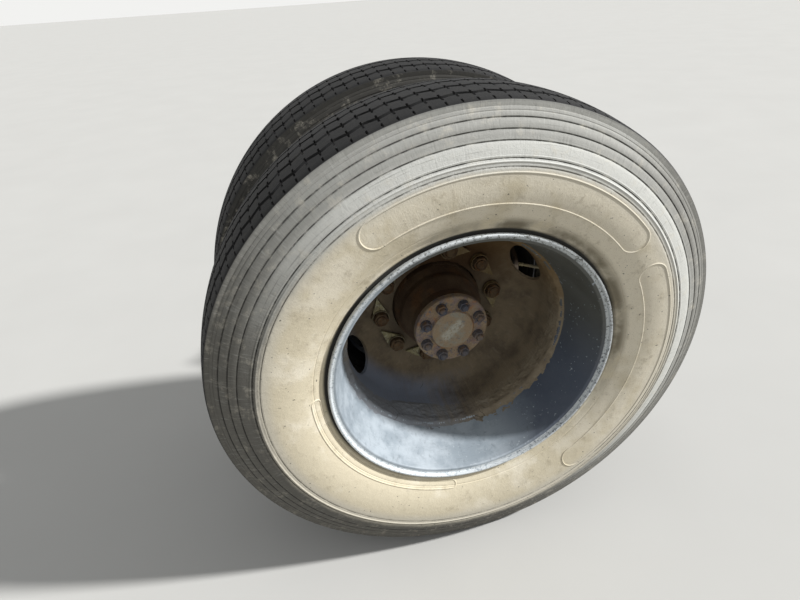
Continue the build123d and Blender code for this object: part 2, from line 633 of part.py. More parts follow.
def brake_spider():
    """Spider casting on the spindle flange: cam boss, anchor bosses and four shield ears."""
    disc = Circle(SPINDLE_FLANGE_R) - Circle(SPIDER_BORE_R)
    cam_arm = Pos(CAM_X / 2, 0) * Rectangle(CAM_X, 1.7 * CAM_BOSS_R) + Pos(CAM_X, 0) * Circle(CAM_BOSS_R)
    anchor_arm = Pos(-CAM_X / 2, 0) * Rectangle(CAM_X, ANCHOR_SPACING + ANCHOR_BOSS_R)
    outline = disc + (cam_arm + anchor_arm - Circle(SPIDER_BORE_R + SPIDER_RING))
    for angle in EAR_ANGLES:
        bar = Pos((EAR_R + EAR_START) / 2, 0) * Rectangle(EAR_R - EAR_START, 2 * EAR_PAD_R)
        outline += Rot(0, 0, angle) * (bar + Pos(EAR_R, 0) * Circle(EAR_PAD_R))
    body = side_plate(outline, FLANGE_FRONT, SPIDER_FRONT)
    body += rod(CAM_BOSS_R, SPIDER_FRONT - CAM_BOSS_H, FLANGE_FRONT, CAM_X)
    for z in (-ANCHOR_SPACING / 2, ANCHOR_SPACING / 2):
        low, high = SPIDER_FRONT - ANCHOR_FRONT, FLANGE_FRONT + ANCHOR_BACK
        body += rod(ANCHOR_BOSS_R, low, high, -CAM_X, z)
        body -= rod(ANCHOR_HOLE_R, low - 1, high + 1, -CAM_X, z)
    for angle in EAR_ANGLES:
        x = EAR_R * math.cos(math.radians(angle))
        z = EAR_R * math.sin(math.radians(angle))
        body += rod(EAR_PAD_R, FLANGE_FRONT - 1, SHIELD_FACE, x, z)
    body -= rod(CAM_SHAFT_R + BEARING_GAP, SPIDER_FRONT - CAM_BOSS_H - 1, FLANGE_FRONT + 1, CAM_X)
    return drilled(body, MOUNT_BOLTS, MOUNT_PCD, MOUNT_HOLE_R, SPIDER_FRONT - 1, FLANGE_FRONT + 1)


def dust_shield(upper):
    """One half of the sheet shield over the drum's mouth, cut round the cam tube and anchors."""
    sheet = turned([
        (SHIELD_BORE_R, SHIELD_FACE), (SHIELD_R, SHIELD_FACE), (SHIELD_R, SHIELD_EDGE),
        (SHIELD_R - SHIELD_T, SHIELD_EDGE), (SHIELD_R - SHIELD_T, SHIELD_FACE + SHIELD_T),
        (SHIELD_BORE_R, SHIELD_FACE + SHIELD_T)], [0, 3, 0, 0, 1, 0])
    sign = 1 if upper else -1
    sheet -= rod(TUBE_R + TUBE_FOOT + SHIELD_NOTCH, SHIELD_FACE - 1, SHIELD_EDGE, CAM_X)
    keep = Pos(0, 0, sign * (SHIELD_R + SHIELD_SPLIT / 2)) * Box(
        3 * SHIELD_R, 4 * SHIELD_EDGE, 2 * SHIELD_R)
    return sheet & keep


def cam_tube():
    """Camshaft tube on the spider, with the welded bracket that carries the chamber."""
    tube = rod(TUBE_R, FLANGE_FRONT, TUBE_END, CAM_X)
    tube += rod(TUBE_R + TUBE_FOOT, FLANGE_FRONT, FLANGE_FRONT + TUBE_FOOT_T, CAM_X)
    web_y = TUBE_END - WEB_BACK - PLATE_T
    top = SLACK_ARM + CHAMBER_STUDS / 2 + PLATE_EDGE
    low = SLACK_ARM - CHAMBER_STUDS / 2 - PLATE_EDGE
    middle_x = CHAMBER_X - PLATE_T / 2
    side = Polygon((CAM_X - TUBE_R - WEB_EDGE, -TUBE_R), (CAM_X + TUBE_R, -TUBE_R - WEB_EDGE),
                   (middle_x, low), (middle_x, top),
                   (CHAMBER_X - WEB_TOP, top), (CAM_X - TUBE_R - WEB_EDGE, TUBE_R), align=None)
    tube += side_plate(side, web_y, web_y + PLATE_T)
    reach = SLACK_Y + CHAMBER_STUDS / 2
    tube += Pos(middle_x, (web_y + reach) / 2, (top + low) / 2) * Box(PLATE_T, reach - web_y, top - low)
    tube += Pos(CHAMBER_X - PLATE_T - RIB_LENGTH / 2, web_y + PLATE_T / 2 + RIB_WIDTH / 2,
                top - PLATE_T / 2) * Box(RIB_LENGTH + PLATE_T / 2, RIB_WIDTH, PLATE_T)
    tube -= rod(TUBE_R - TUBE_T, FLANGE_FRONT + TUBE_FOOT, TUBE_END - TUBE_END_WALL, CAM_X)
    tube -= rod(CAM_SHAFT_R + BEARING_GAP, FLANGE_FRONT - 1, TUBE_END + 1, CAM_X)
    across = Plane(origin=(CHAMBER_X - PLATE_T - 1, SLACK_Y, SLACK_ARM), x_dir=(0, 1, 0), z_dir=(1, 0, 0))
    tube -= extrude(across * Circle(ROD_HOLE_R), PLATE_T + 2)
    for z in (-CHAMBER_STUDS / 2, CHAMBER_STUDS / 2):
        tube -= extrude(across * Pos(0, z) * Circle(PLATE_HOLE_R), PLATE_T + 2)
    return tube


def camshaft():
    """Brake camshaft with its S-shaped head between the shoes and a splined inner end."""
    head_start = CAM_HEAD_END - CAM_HEAD_W
    shaft = rod(CAM_SHAFT_R, head_start, SLACK_Y + SLACK_W / 2 + SPLINE_END, CAM_X)
    lobes = Circle(CAM_LOBE_R * 1.3)
    for turn in (0, 180):
        nose = Pos(CAM_LOBE_R * 0.95, CAM_LOBE_R * 0.75) * Circle(CAM_LOBE_R * 0.72)
        lobes += Rot(0, 0, turn) * nose
    head = side_plate(Pos(CAM_X, 0) * lobes, CAM_HEAD_END, head_start)
    return shaft + head


def slack_adjuster():
    """Automatic slack adjuster: a hub on the camshaft, a worm housing and a forked arm's tip."""
    low, high = SLACK_Y - SLACK_W / 2, SLACK_Y + SLACK_W / 2
    foot_x = SLACK_HUB_R * 0.92
    arm = Polygon((-foot_x, SLACK_ARM_FOOT), (foot_x, SLACK_ARM_FOOT), (SLACK_TIP_R, SLACK_ARM),
                  (-SLACK_TIP_R, SLACK_ARM), align=None)
    body = rod(SLACK_HUB_R, low, high, CAM_X)
    thin = Pos(CAM_X, 0) * (arm + Pos(0, SLACK_ARM) * Circle(SLACK_TIP_R))
    body += side_plate(thin, SLACK_Y - SLACK_TIP_W / 2, SLACK_Y + SLACK_TIP_W / 2)
    worm = Plane(origin=(CAM_X - WORM_LENGTH / 2, SLACK_Y, SLACK_HUB_R + WORM_RISE),
                 x_dir=(0, 1, 0), z_dir=(1, 0, 0))
    body += extrude(worm * Circle(WORM_R), WORM_LENGTH)
    body += extrude(worm * Circle(HEX_R), WORM_LENGTH + HEX_END)
    body += Pos(CAM_X, SLACK_Y, SLACK_HUB_R + ADJUSTER_RISE) * Cylinder(ADJUSTER_R, ADJUSTER_LENGTH)
    body -= rod(CAM_SHAFT_R + SEAT / 2, low - 1, high + 1, CAM_X)
    return body - rod(CLEVIS_PIN_R + SEAT / 2, low, high, CAM_X, SLACK_ARM)


def push_rod():
    """Chamber push rod with its clevis and the clevis pin, side by side as separate solids."""
    gap = SLACK_TIP_W / 2 + CLEVIS_GAP
    wide = 2 * (gap + CLEVIS_WALL)
    clevis_end = CAM_X + CLEVIS_LENGTH - CLEVIS_BACK
    fork = Pos(CAM_X + CLEVIS_LENGTH / 2 - CLEVIS_BACK, SLACK_Y, SLACK_ARM) * Box(
        CLEVIS_LENGTH, wide, CLEVIS_H)
    fork -= Pos(CAM_X - 2, SLACK_Y, SLACK_ARM) * Box(
        2 * (SLACK_TIP_R + CLEVIS_SLOT), 2 * gap, 2 * CLEVIS_H)
    fork -= rod(CLEVIS_PIN_R + SEAT / 2, SLACK_Y - wide, SLACK_Y + wide, CAM_X, SLACK_ARM)
    start = Plane(origin=(clevis_end - 2, SLACK_Y, SLACK_ARM), x_dir=(0, 1, 0), z_dir=(1, 0, 0))
    fork += extrude(start * Circle(PUSH_ROD_R), CHAMBER_X + CHAMBER_WALL - clevis_end + 2)
    fork += extrude(start * RegularPolygon(LOCK_NUT_R, 6), LOCK_NUT_H)
    side = SLACK_Y - wide / 2
    pin = rod(CLEVIS_PIN_R, side - PIN_END, SLACK_Y + wide / 2 + PIN_END, CAM_X, SLACK_ARM)
    pin += rod(CLEVIS_PIN_R + PIN_HEAD_STEP, side - CLEVIS_GAP - PIN_HEAD_T, side - CLEVIS_GAP,
               CAM_X, SLACK_ARM)
    return [fork, pin]


def turned_along_x(points, radii=0):
    """Turn a closed outline of (x, radius) points about the chamber's axis."""
    plane = Plane(origin=(CHAMBER_X, SLACK_Y, SLACK_ARM), x_dir=(1, 0, 0), z_dir=(0, -1, 0))
    outline = plane * make_face(FilletPolyline(*points, radius=radii, close=True))
    return revolve(outline, Axis((CHAMBER_X, SLACK_Y, SLACK_ARM), (1, 0, 0)))


def service_chamber():
    """Front can of the spring brake, with its two mounting studs."""
    body = turned_along_x([
        (0, CHAMBER_MOUTH_R), (0, CHAMBER_BASE_R), (CHAMBER_CUP - 8, CHAMBER_R - 6), (CHAMBER_CUP, CHAMBER_R),
        (CHAMBER_CUP, 0), (CHAMBER_WALL, 0), (CHAMBER_WALL, CHAMBER_MOUTH_R)], [0, 16, 0, 0, 0, 0, 0])
    face = Plane(origin=(CHAMBER_X, SLACK_Y, SLACK_ARM), x_dir=(0, 1, 0), z_dir=(-1, 0, 0))
    for z in (-CHAMBER_STUDS / 2, CHAMBER_STUDS / 2):
        body += extrude(face * Pos(0, z) * Circle(CHAMBER_STUD_R), CHAMBER_STUD_END)
        body += Pos(-PLATE_T, 0, 0) * extrude(face * Pos(0, z) * RegularPolygon(LOCK_NUT_R, 6), LOCK_NUT_H)
    return body


def spring_chamber():
    """Middle flange case and the domed can that houses the parking spring."""
    start = CHAMBER_CUP + SEAT
    join = start + CHAMBER_MIDDLE
    end = join + CHAMBER_SPRING
    ledge, slope = BAND_W / 2, BAND_W / 2 + 7
    return turned_along_x([
        (start, 0), (start, CHAMBER_R), (start + ledge, CHAMBER_R), (start + slope, CHAMBER_R - CHAMBER_WAIST),
        (join - slope, CHAMBER_R - CHAMBER_WAIST), (join - ledge, CHAMBER_R), (join + ledge, CHAMBER_R),
        (join + ledge + 3, CHAMBER_R - 4), (end - DOME_R, CHAMBER_R - 10), (end, DOME_R), (end, PORT_R),
        (end + 6, PORT_R - 2), (end + 6, 0)], [0, 0, 0, 0, 0, 0, 0, 0, 22, 10, 0, 0, 0])


def clamp_bands():
    """The two clamp rings round the chamber's joints."""
    bands = []
    for join in (CHAMBER_CUP, CHAMBER_CUP + CHAMBER_MIDDLE):
        low = join - BAND_W / 2
        band = turned_along_x([
            (low, CHAMBER_R + SEAT), (low + BAND_BEVEL, CHAMBER_BAND_R),
            (low + BAND_W - BAND_BEVEL, CHAMBER_BAND_R), (low + BAND_W, CHAMBER_R + SEAT)])
        bands.append(band)
    return bands


PARTS = {
    "outer_rim": rim(OUTER_RIM, 1),
    "inner_rim": rim(INNER_RIM, -1),
    "outer_disc": wheel_disc(OUTER_RIM, 1),
    "inner_disc": wheel_disc(INNER_RIM, -1),
    "outer_tyre": tyre(OUTER_RIM),
    "inner_tyre": tyre(INNER_RIM),
    "hub": hub(),
    "wheel_studs": wheel_studs(),
    "wheel_nuts": wheel_nuts(),
    "nut_pointers": nut_pointers(),
    "brake_drum": brake_drum(),
    "axle_shaft": axle_shaft(),
    "drive_studs": drive_studs(),
    "spindle": spindle(),
    "wheel_bearings": wheel_bearings(),
    "brake_spider": brake_spider(),
    "dust_shield_upper": dust_shield(True),
    "dust_shield_lower": dust_shield(False),
    "cam_tube": cam_tube(),
    "camshaft": camshaft(),
    "slack_adjuster": slack_adjuster(),
    "push_rod": push_rod(),
    "service_chamber": service_chamber(),
    "spring_chamber": spring_chamber(),
    "clamp_bands": clamp_bands(),
}

os.makedirs("parts", exist_ok=True)
for name, shape in PARTS.items():
    if isinstance(shape, list):
        shape = Compound(children=shape)
    export_step(shape, f"parts/{name}.step")
    print(f"{name}: {len(shape.solids())} solids, {shape.volume / 1000:.1f} cm3")
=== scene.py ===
"""Looks of a bus's rear dual wheel and hub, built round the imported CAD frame.

Shapes are worked out in millimetres in the frame's own axes: the wheels turn about Y,
-Y is outboard, +X is the bus's rear and +Z is up. A mesh turns to metres as it is made.
"""

import logging
import math
from dataclasses import dataclass, field
from enum import Enum
from functools import cached_property

import bpy
import numpy as np
from mathutils import Matrix, Vector

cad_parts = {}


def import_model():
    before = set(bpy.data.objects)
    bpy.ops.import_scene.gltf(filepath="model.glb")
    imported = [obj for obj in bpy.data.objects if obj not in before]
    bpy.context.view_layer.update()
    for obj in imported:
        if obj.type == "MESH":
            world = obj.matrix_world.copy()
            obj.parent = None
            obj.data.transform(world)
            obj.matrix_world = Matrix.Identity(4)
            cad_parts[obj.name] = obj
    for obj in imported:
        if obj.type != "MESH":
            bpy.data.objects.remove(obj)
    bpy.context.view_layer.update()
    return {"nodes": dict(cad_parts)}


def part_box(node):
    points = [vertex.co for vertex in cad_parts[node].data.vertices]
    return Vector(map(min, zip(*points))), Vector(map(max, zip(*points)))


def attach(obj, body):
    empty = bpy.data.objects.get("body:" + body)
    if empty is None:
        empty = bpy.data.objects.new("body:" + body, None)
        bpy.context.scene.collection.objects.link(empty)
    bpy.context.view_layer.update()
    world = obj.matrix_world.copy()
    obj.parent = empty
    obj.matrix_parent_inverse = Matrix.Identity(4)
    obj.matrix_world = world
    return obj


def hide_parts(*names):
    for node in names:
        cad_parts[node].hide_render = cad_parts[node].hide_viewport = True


LOG = logging.getLogger("dual_wheel")
MM = 0.001
TAU = 2 * math.pi

Colour = tuple[float, float, float, float]
Row = tuple[float, float]
Triple = tuple[float, float, float]
Socket = bpy.types.NodeSocket
Grain = tuple[float, float, float]
Lump = tuple[float, tuple[int, int], int]
Factor = Socket | float | tuple[Socket, float, float]


def srgb(code: str) -> Colour:
    """Turns an sRGB hex colour to linear light: c / 12.92 near black, else ((c + 0.055) / 1.055) ^ 2.4.

    Args:
        code: Six hex digits after a hash.

    Returns:
        Red, green, blue and an alpha of 1.
    """
    parts = [int(code[i:i + 2], 16) / 255 for i in (1, 3, 5)]
    linear = [c / 12.92 if c <= 0.04045 else ((c + 0.055) / 1.055) ** 2.4 for c in parts]
    return (linear[0], linear[1], linear[2], 1.0)


# Surfaces


@dataclass
class Surface:
    """One or more closed shells: points in millimetres, quads, and the flat faces that cap open ends."""

    points: np.ndarray
    quads: np.ndarray
    caps: list[np.ndarray] = field(default_factory=list)

    def outward(self) -> "Surface":
        """Turns every face over where the enclosed volume, a sum of v0 . (v1 x v2) / 6, is negative.

        Returns:
            The same surface with its faces pointing out.
        """
        fans = [self.quads[:, [0, 1, 2]], self.quads[:, [0, 2, 3]]]
        for cap in self.caps:
            fans.append(np.stack([np.full(len(cap) - 2, cap[0]), cap[1:-1], cap[2:]], axis=1))
        first, second, third = (self.points[np.concatenate(fans)[:, k]] for k in range(3))
        volume = np.einsum("ij,ij->", first, np.cross(second, third)) / 6
        if volume >= 0:
            return self
        return Surface(self.points, self.quads[:, ::-1], [cap[::-1] for cap in self.caps])

    def moved(self, turns: np.ndarray, shifts: np.ndarray) -> "Surface":
        """Copies the shell to each place: p' = T p + s.

        Args:
            turns: Rotation matrices, (count, 3, 3).
            shifts: Offsets in millimetres, (count, 3).

        Returns:
            All the copies as one surface.
        """
        points = np.einsum("nij,pj->npi", turns, self.points) + shifts[:, None, :]
        steps = np.arange(len(turns)) * len(self.points)
        quads = (self.quads[None] + steps[:, None, None]).reshape(-1, 4)
        caps = [cap + step for step in steps for cap in self.caps]
        return Surface(points.reshape(-1, 3), quads, caps)

    def shifted(self, x: float, y: float, z: float) -> "Surface":
        """The same surface, moved by a distance along each axis."""
        return Surface(self.points + (x, y, z), self.quads, self.caps)

    @staticmethod
    def joined(parts: list["Surface"]) -> "Surface":
        """Puts several surfaces side by side in one.

        Args:
            parts: The surfaces.

        Returns:
            One surface that holds them all.
        """
        starts = np.cumsum([0] + [len(part.points) for part in parts[:-1]])
        return Surface(
            np.concatenate([part.points for part in parts]),
            np.concatenate([part.quads + start for part, start in zip(parts, starts)]),
            [cap + start for part, start in zip(parts, starts) for cap in part.caps],
        )

    def to_object(self, name: str, material: bpy.types.Material, crease: float = 35.0) -> bpy.types.Object:
        """Makes a mesh object in metres, smooth apart from edges sharper than the crease.

        Args:
            name: Name of the object and its mesh.
            material: Its finish.
            crease: Angle between faces, in degrees, past which an edge stays sharp.

        Returns:
            The new object, at the origin.
        """
        mesh = bpy.data.meshes.new(name)
        faces = self.quads.tolist() + [cap.tolist() for cap in self.caps]
        mesh.from_pydata((self.points * MM).tolist(), [], faces)
        mesh.polygons.foreach_set("use_smooth", np.ones(len(faces), bool))
        mesh.set_sharp_from_angle(angle=math.radians(crease))
        mesh.materials.append(material)
        mesh.update()
        made = bpy.data.objects.new(name, mesh)
        bpy.context.scene.collection.objects.link(made)
        return made


def swept(points: np.ndarray, ring: bool) -> Surface:
    """Closed skin over sections that follow one another, each a closed loop of points.

    Args:
        points: Grid of (sections, points round a section, 3).
        ring: Whether the last section joins the first. If not, both ends get a flat cap.

    Returns:
        The closed surface, facing out.
    """
    sections, across = points.shape[:2]
    index = np.arange(sections * across).reshape(sections, across)
    ahead = np.roll(index, -1, axis=0)
    if not ring:
        index, ahead = index[:-1], ahead[:-1]
    quads = np.stack([index, np.roll(index, -1, 1), np.roll(ahead, -1, 1), ahead], axis=-1)
    caps = [] if ring else [index[0], ahead[-1][::-1]]
    return Surface(points.reshape(-1, 3), quads.reshape(-1, 4), caps).outward()


def full_turn(steps: int) -> np.ndarray:
    """Angles of equal steps round a circle, in radians."""
    return np.arange(steps) * TAU / steps


def eased(share: np.ndarray) -> np.ndarray:
    """Smooth step from 0 to 1: 3t^2 - 2t^3."""
    return share * share * (3 - 2 * share)


def round_axis(radius: np.ndarray | float, y: np.ndarray | float, angles: np.ndarray) -> np.ndarray:
    """Points round the Y axis: x = r cos a, z = r sin a, for arrays that broadcast together.

    Args:
        radius: Distances from the axis.
        y: Stations along it.
        angles: Angles from +X towards +Z, in radians.

    Returns:
        The points, with a last dimension of 3.
    """
    radius, y, angles = np.broadcast_arrays(radius, y, angles)
    return np.stack([radius * np.cos(angles), y, radius * np.sin(angles)], -1)


def turned(profile: list[Row], steps: int) -> Surface:
    """Turns a closed outline of (radius, y) about the Y axis.

    Args:
        profile: The outline's corners, in order.
        steps: Divisions on the way round.

    Returns:
        A closed ring.
    """
    return swept(round_axis(*np.array(profile, float).T, full_turn(steps)[:, None]), ring=True)


def spun(profile: list[Row], steps: int) -> Surface:
    """Turns an open outline of (radius, y) about the Y axis and caps both ends, as a solid of revolution.

    Args:
        profile: The outline from one end of the solid to the other.
        steps: Divisions on the way round.

    Returns:
        A closed solid without a hole.
    """
    radius, y = np.array(profile, float).T[:, :, None]
    return swept(round_axis(radius, y, full_turn(steps)), ring=False)


def hexagonal(limits: list[Row], across_flats: float) -> Surface:
    """Ring with six flats: the radius is the smaller of each station's limit and
    the flat's own, (across flats / 2) / cos(angle from the middle of the flat).

    Args:
        limits: Closed outline of (largest radius, y).
        across_flats: Distance between opposite flats.

    Returns:
        A closed nut with its bore.
    """
    angles = full_turn(48)[:, None]
    flats = across_flats / 2 / np.cos(np.mod(angles, TAU / 6) - TAU / 12)
    largest, y = np.array(limits, float).T
    return swept(round_axis(np.minimum(largest, flats), y, angles), ring=True)


def threaded(radius: float, depth: float, pitch: float, start: float, end: float) -> Surface:
    """Rod with a screw thread, 6 rings to a pitch: radius less depth x (1 - cos(2 pi y / pitch - angle)) / 2,
    with a bevel of 1.6 mm at its end.

    Args:
        radius: Over the crests.
        depth: Crest to root.
        pitch: Crest to crest along the rod.
        start: Station of the rod's buried end.
        end: Station of its bevelled end.

    Returns:
        A closed rod along Y.
    """
    y = np.linspace(start, end, max(8, int(abs(end - start) / pitch * 6)))[:, None]
    angles = full_turn(24)
    wave = (1 - np.cos(TAU * y / pitch - angles)) / 2
    bevel = np.clip(1.6 - np.abs(end - y), 0, None)
    return swept(round_axis(radius - depth * wave - bevel, y, angles), ring=False)


def bolt_circle(piece: Surface, radius: float, angles: np.ndarray,
                twist: np.ndarray | float = 0.0) -> Surface:
    """Copies a piece that stands on the Y axis round a circle, its own X pointing away from the centre.

    Args:
        piece: The piece, on the axis.
        radius: Radius of the circle.
        angles: Angle of each place, in radians from +X towards +Z.
        twist: Extra turn of each copy about its own axis, in radians.

    Returns:
        All the copies.
    """
    turn = angles + twist
    turns = np.zeros((len(angles), 3, 3))
    turns[:, 0, 0], turns[:, 0, 2] = np.cos(turn), -np.sin(turn)
    turns[:, 2, 0], turns[:, 2, 2] = np.sin(turn), np.cos(turn)
    turns[:, 1, 1] = 1
    return piece.moved(turns, round_axis(radius, 0.0, angles))


def aimed(piece: Surface, start: np.ndarray, along: np.ndarray) -> Surface:
    """Lays a piece that was built up from the origin on +Y along a direction: the turn's columns are a
    side at right angles to it, the direction, and their cross product.

    Args:
        piece: The piece, on the axis.
        start: Where its origin goes.
        along: The direction, of any length.

    Returns:
        The piece in its place.
    """
    along = along / np.linalg.norm(along)
    side = np.cross(along, (0.0, 1.0, 0.0) if abs(along[1]) < 0.9 else (1.0, 0.0, 0.0))
    side /= np.linalg.norm(side)
    turn = np.stack([side, along, np.cross(side, along)], axis=1)
    return piece.moved(turn[None], start[None])


def lumps(around: np.ndarray, across: np.ndarray, cells: tuple[int, int], seed: int) -> np.ndarray:
    """Smooth random heights from -1 to 1: a lattice of seeded values, blended between cells
    with 3t^2 - 2t^3, that repeats once round the wheel.

    Args:
        around: Place round the wheel, 0 to 1.
        across: Place across it, 0 to 1, of the same form.
        cells: Lattice cells round and across.
        seed: Seed of the lattice.

    Returns:
        A height for each place.
    """
    values = np.random.default_rng(seed).uniform(-1, 1, (cells[0], cells[1] + 2))
    u, v = around * cells[0], np.clip(across, 0, 1) * cells[1]
    i, j = np.floor(u).astype(int), np.floor(v).astype(int)
    s, t = eased(u - i), eased(v - j)
    a, b = i % cells[0], (i + 1) % cells[0]
    low = values[a, j] * (1 - s) + values[b, j] * s
    high = values[a, j + 1] * (1 - s) + values[b, j + 1] * s
    return low * (1 - t) + high * t


def lumpy(around: np.ndarray, across: np.ndarray, layers: tuple[Lump, ...]) -> np.ndarray:
    """Several layers of lumps added together, each times its own height."""
    return sum(height * lumps(around, across, cells, seed) for height, cells, seed in layers)


# Finishes


class Node(Enum):
    """The nodes in use: Blender's name, its settings, its inputs in the order in which they are
    given, and the output to read where it isn't the first one in use."""

    PLACE = ("ShaderNodeTexCoord", {}, (), "Object")
    SCALED = ("ShaderNodeVectorMath", {"operation": "SCALE"}, (0, "Scale"), "")
    MASKED = ("ShaderNodeVectorMath", {"operation": "MULTIPLY"}, (0, 1), "")
    SHIFTED = ("ShaderNodeVectorMath", {"operation": "ADD"}, (0, 1), "")
    DIRECTION = ("ShaderNodeVectorMath", {"operation": "NORMALIZE"}, (0,), "")
    LENGTH = ("ShaderNodeVectorMath", {"operation": "LENGTH"}, (0,), "Value")
    TOWARDS = ("ShaderNodeVectorMath", {"operation": "DOT_PRODUCT"}, (0, 1), "Value")
    STATION = ("ShaderNodeSeparateXYZ", {}, ("Vector",), "Y")
    ALONG_Y = ("ShaderNodeCombineXYZ", {}, ("Y",), "")
    NOISE = ("ShaderNodeTexNoise", {}, ("Vector", "Scale", "Detail", "Roughness"), "")
    NOISE_VECTOR = ("ShaderNodeTexNoise", {}, ("Vector", "Scale", "Detail"), "Color")
    CELL_EDGES = ("ShaderNodeTexVoronoi", {"feature": "DISTANCE_TO_EDGE"}, ("Vector", "Scale"), "")
    SOFT_STEP = ("ShaderNodeMapRange", {"interpolation_type": "SMOOTHSTEP"},
                 ("Value", "From Min", "From Max"), "")
    RANGE = ("ShaderNodeMapRange", {}, ("Value", "To Min", "To Max", "From Min", "From Max"), "")
    LESS = ("ShaderNodeMath", {"operation": "SUBTRACT"}, (0, 1), "")
    TIMES = ("ShaderNodeMath", {"operation": "MULTIPLY"}, (0, 1), "")
    SWAYED = ("ShaderNodeMath", {"operation": "MULTIPLY_ADD"}, (0, 1, 2), "")
    LARGER = ("ShaderNodeMath", {"operation": "MAXIMUM"}, (0, 1), "")
    UNSIGNED = ("ShaderNodeMath", {"operation": "ABSOLUTE"}, (0,), "")
    COATED = ("ShaderNodeMix", {"data_type": "RGBA"}, ("Factor", "A", "B"), "")
    BUMP = ("ShaderNodeBump", {}, ("Height", "Distance"), "")
    SURFACE = ("ShaderNodeBsdfPrincipled", {}, ("Base Color", "Roughness", "Metallic"), "")
    MATERIAL_OUTPUT = ("ShaderNodeOutputMaterial", {}, ("Surface",), "")
    SEEN_BY_CAMERA = ("ShaderNodeLightPath", {}, (), "Is Camera Ray")
    SEEN_IN_GLOSS = ("ShaderNodeLightPath", {}, (), "Is Glossy Ray")
    SEEN_THROUGH_GLASS = ("ShaderNodeLightPath", {}, (), "Is Transmission Ray")
    GLOW = ("ShaderNodeBackground", {}, ("Color", "Strength"), "")
    EITHER_GLOW = ("ShaderNodeMixShader", {}, (0, 1, 2), "")
    WORLD_OUTPUT = ("ShaderNodeOutputWorld", {}, ("Surface",), "")


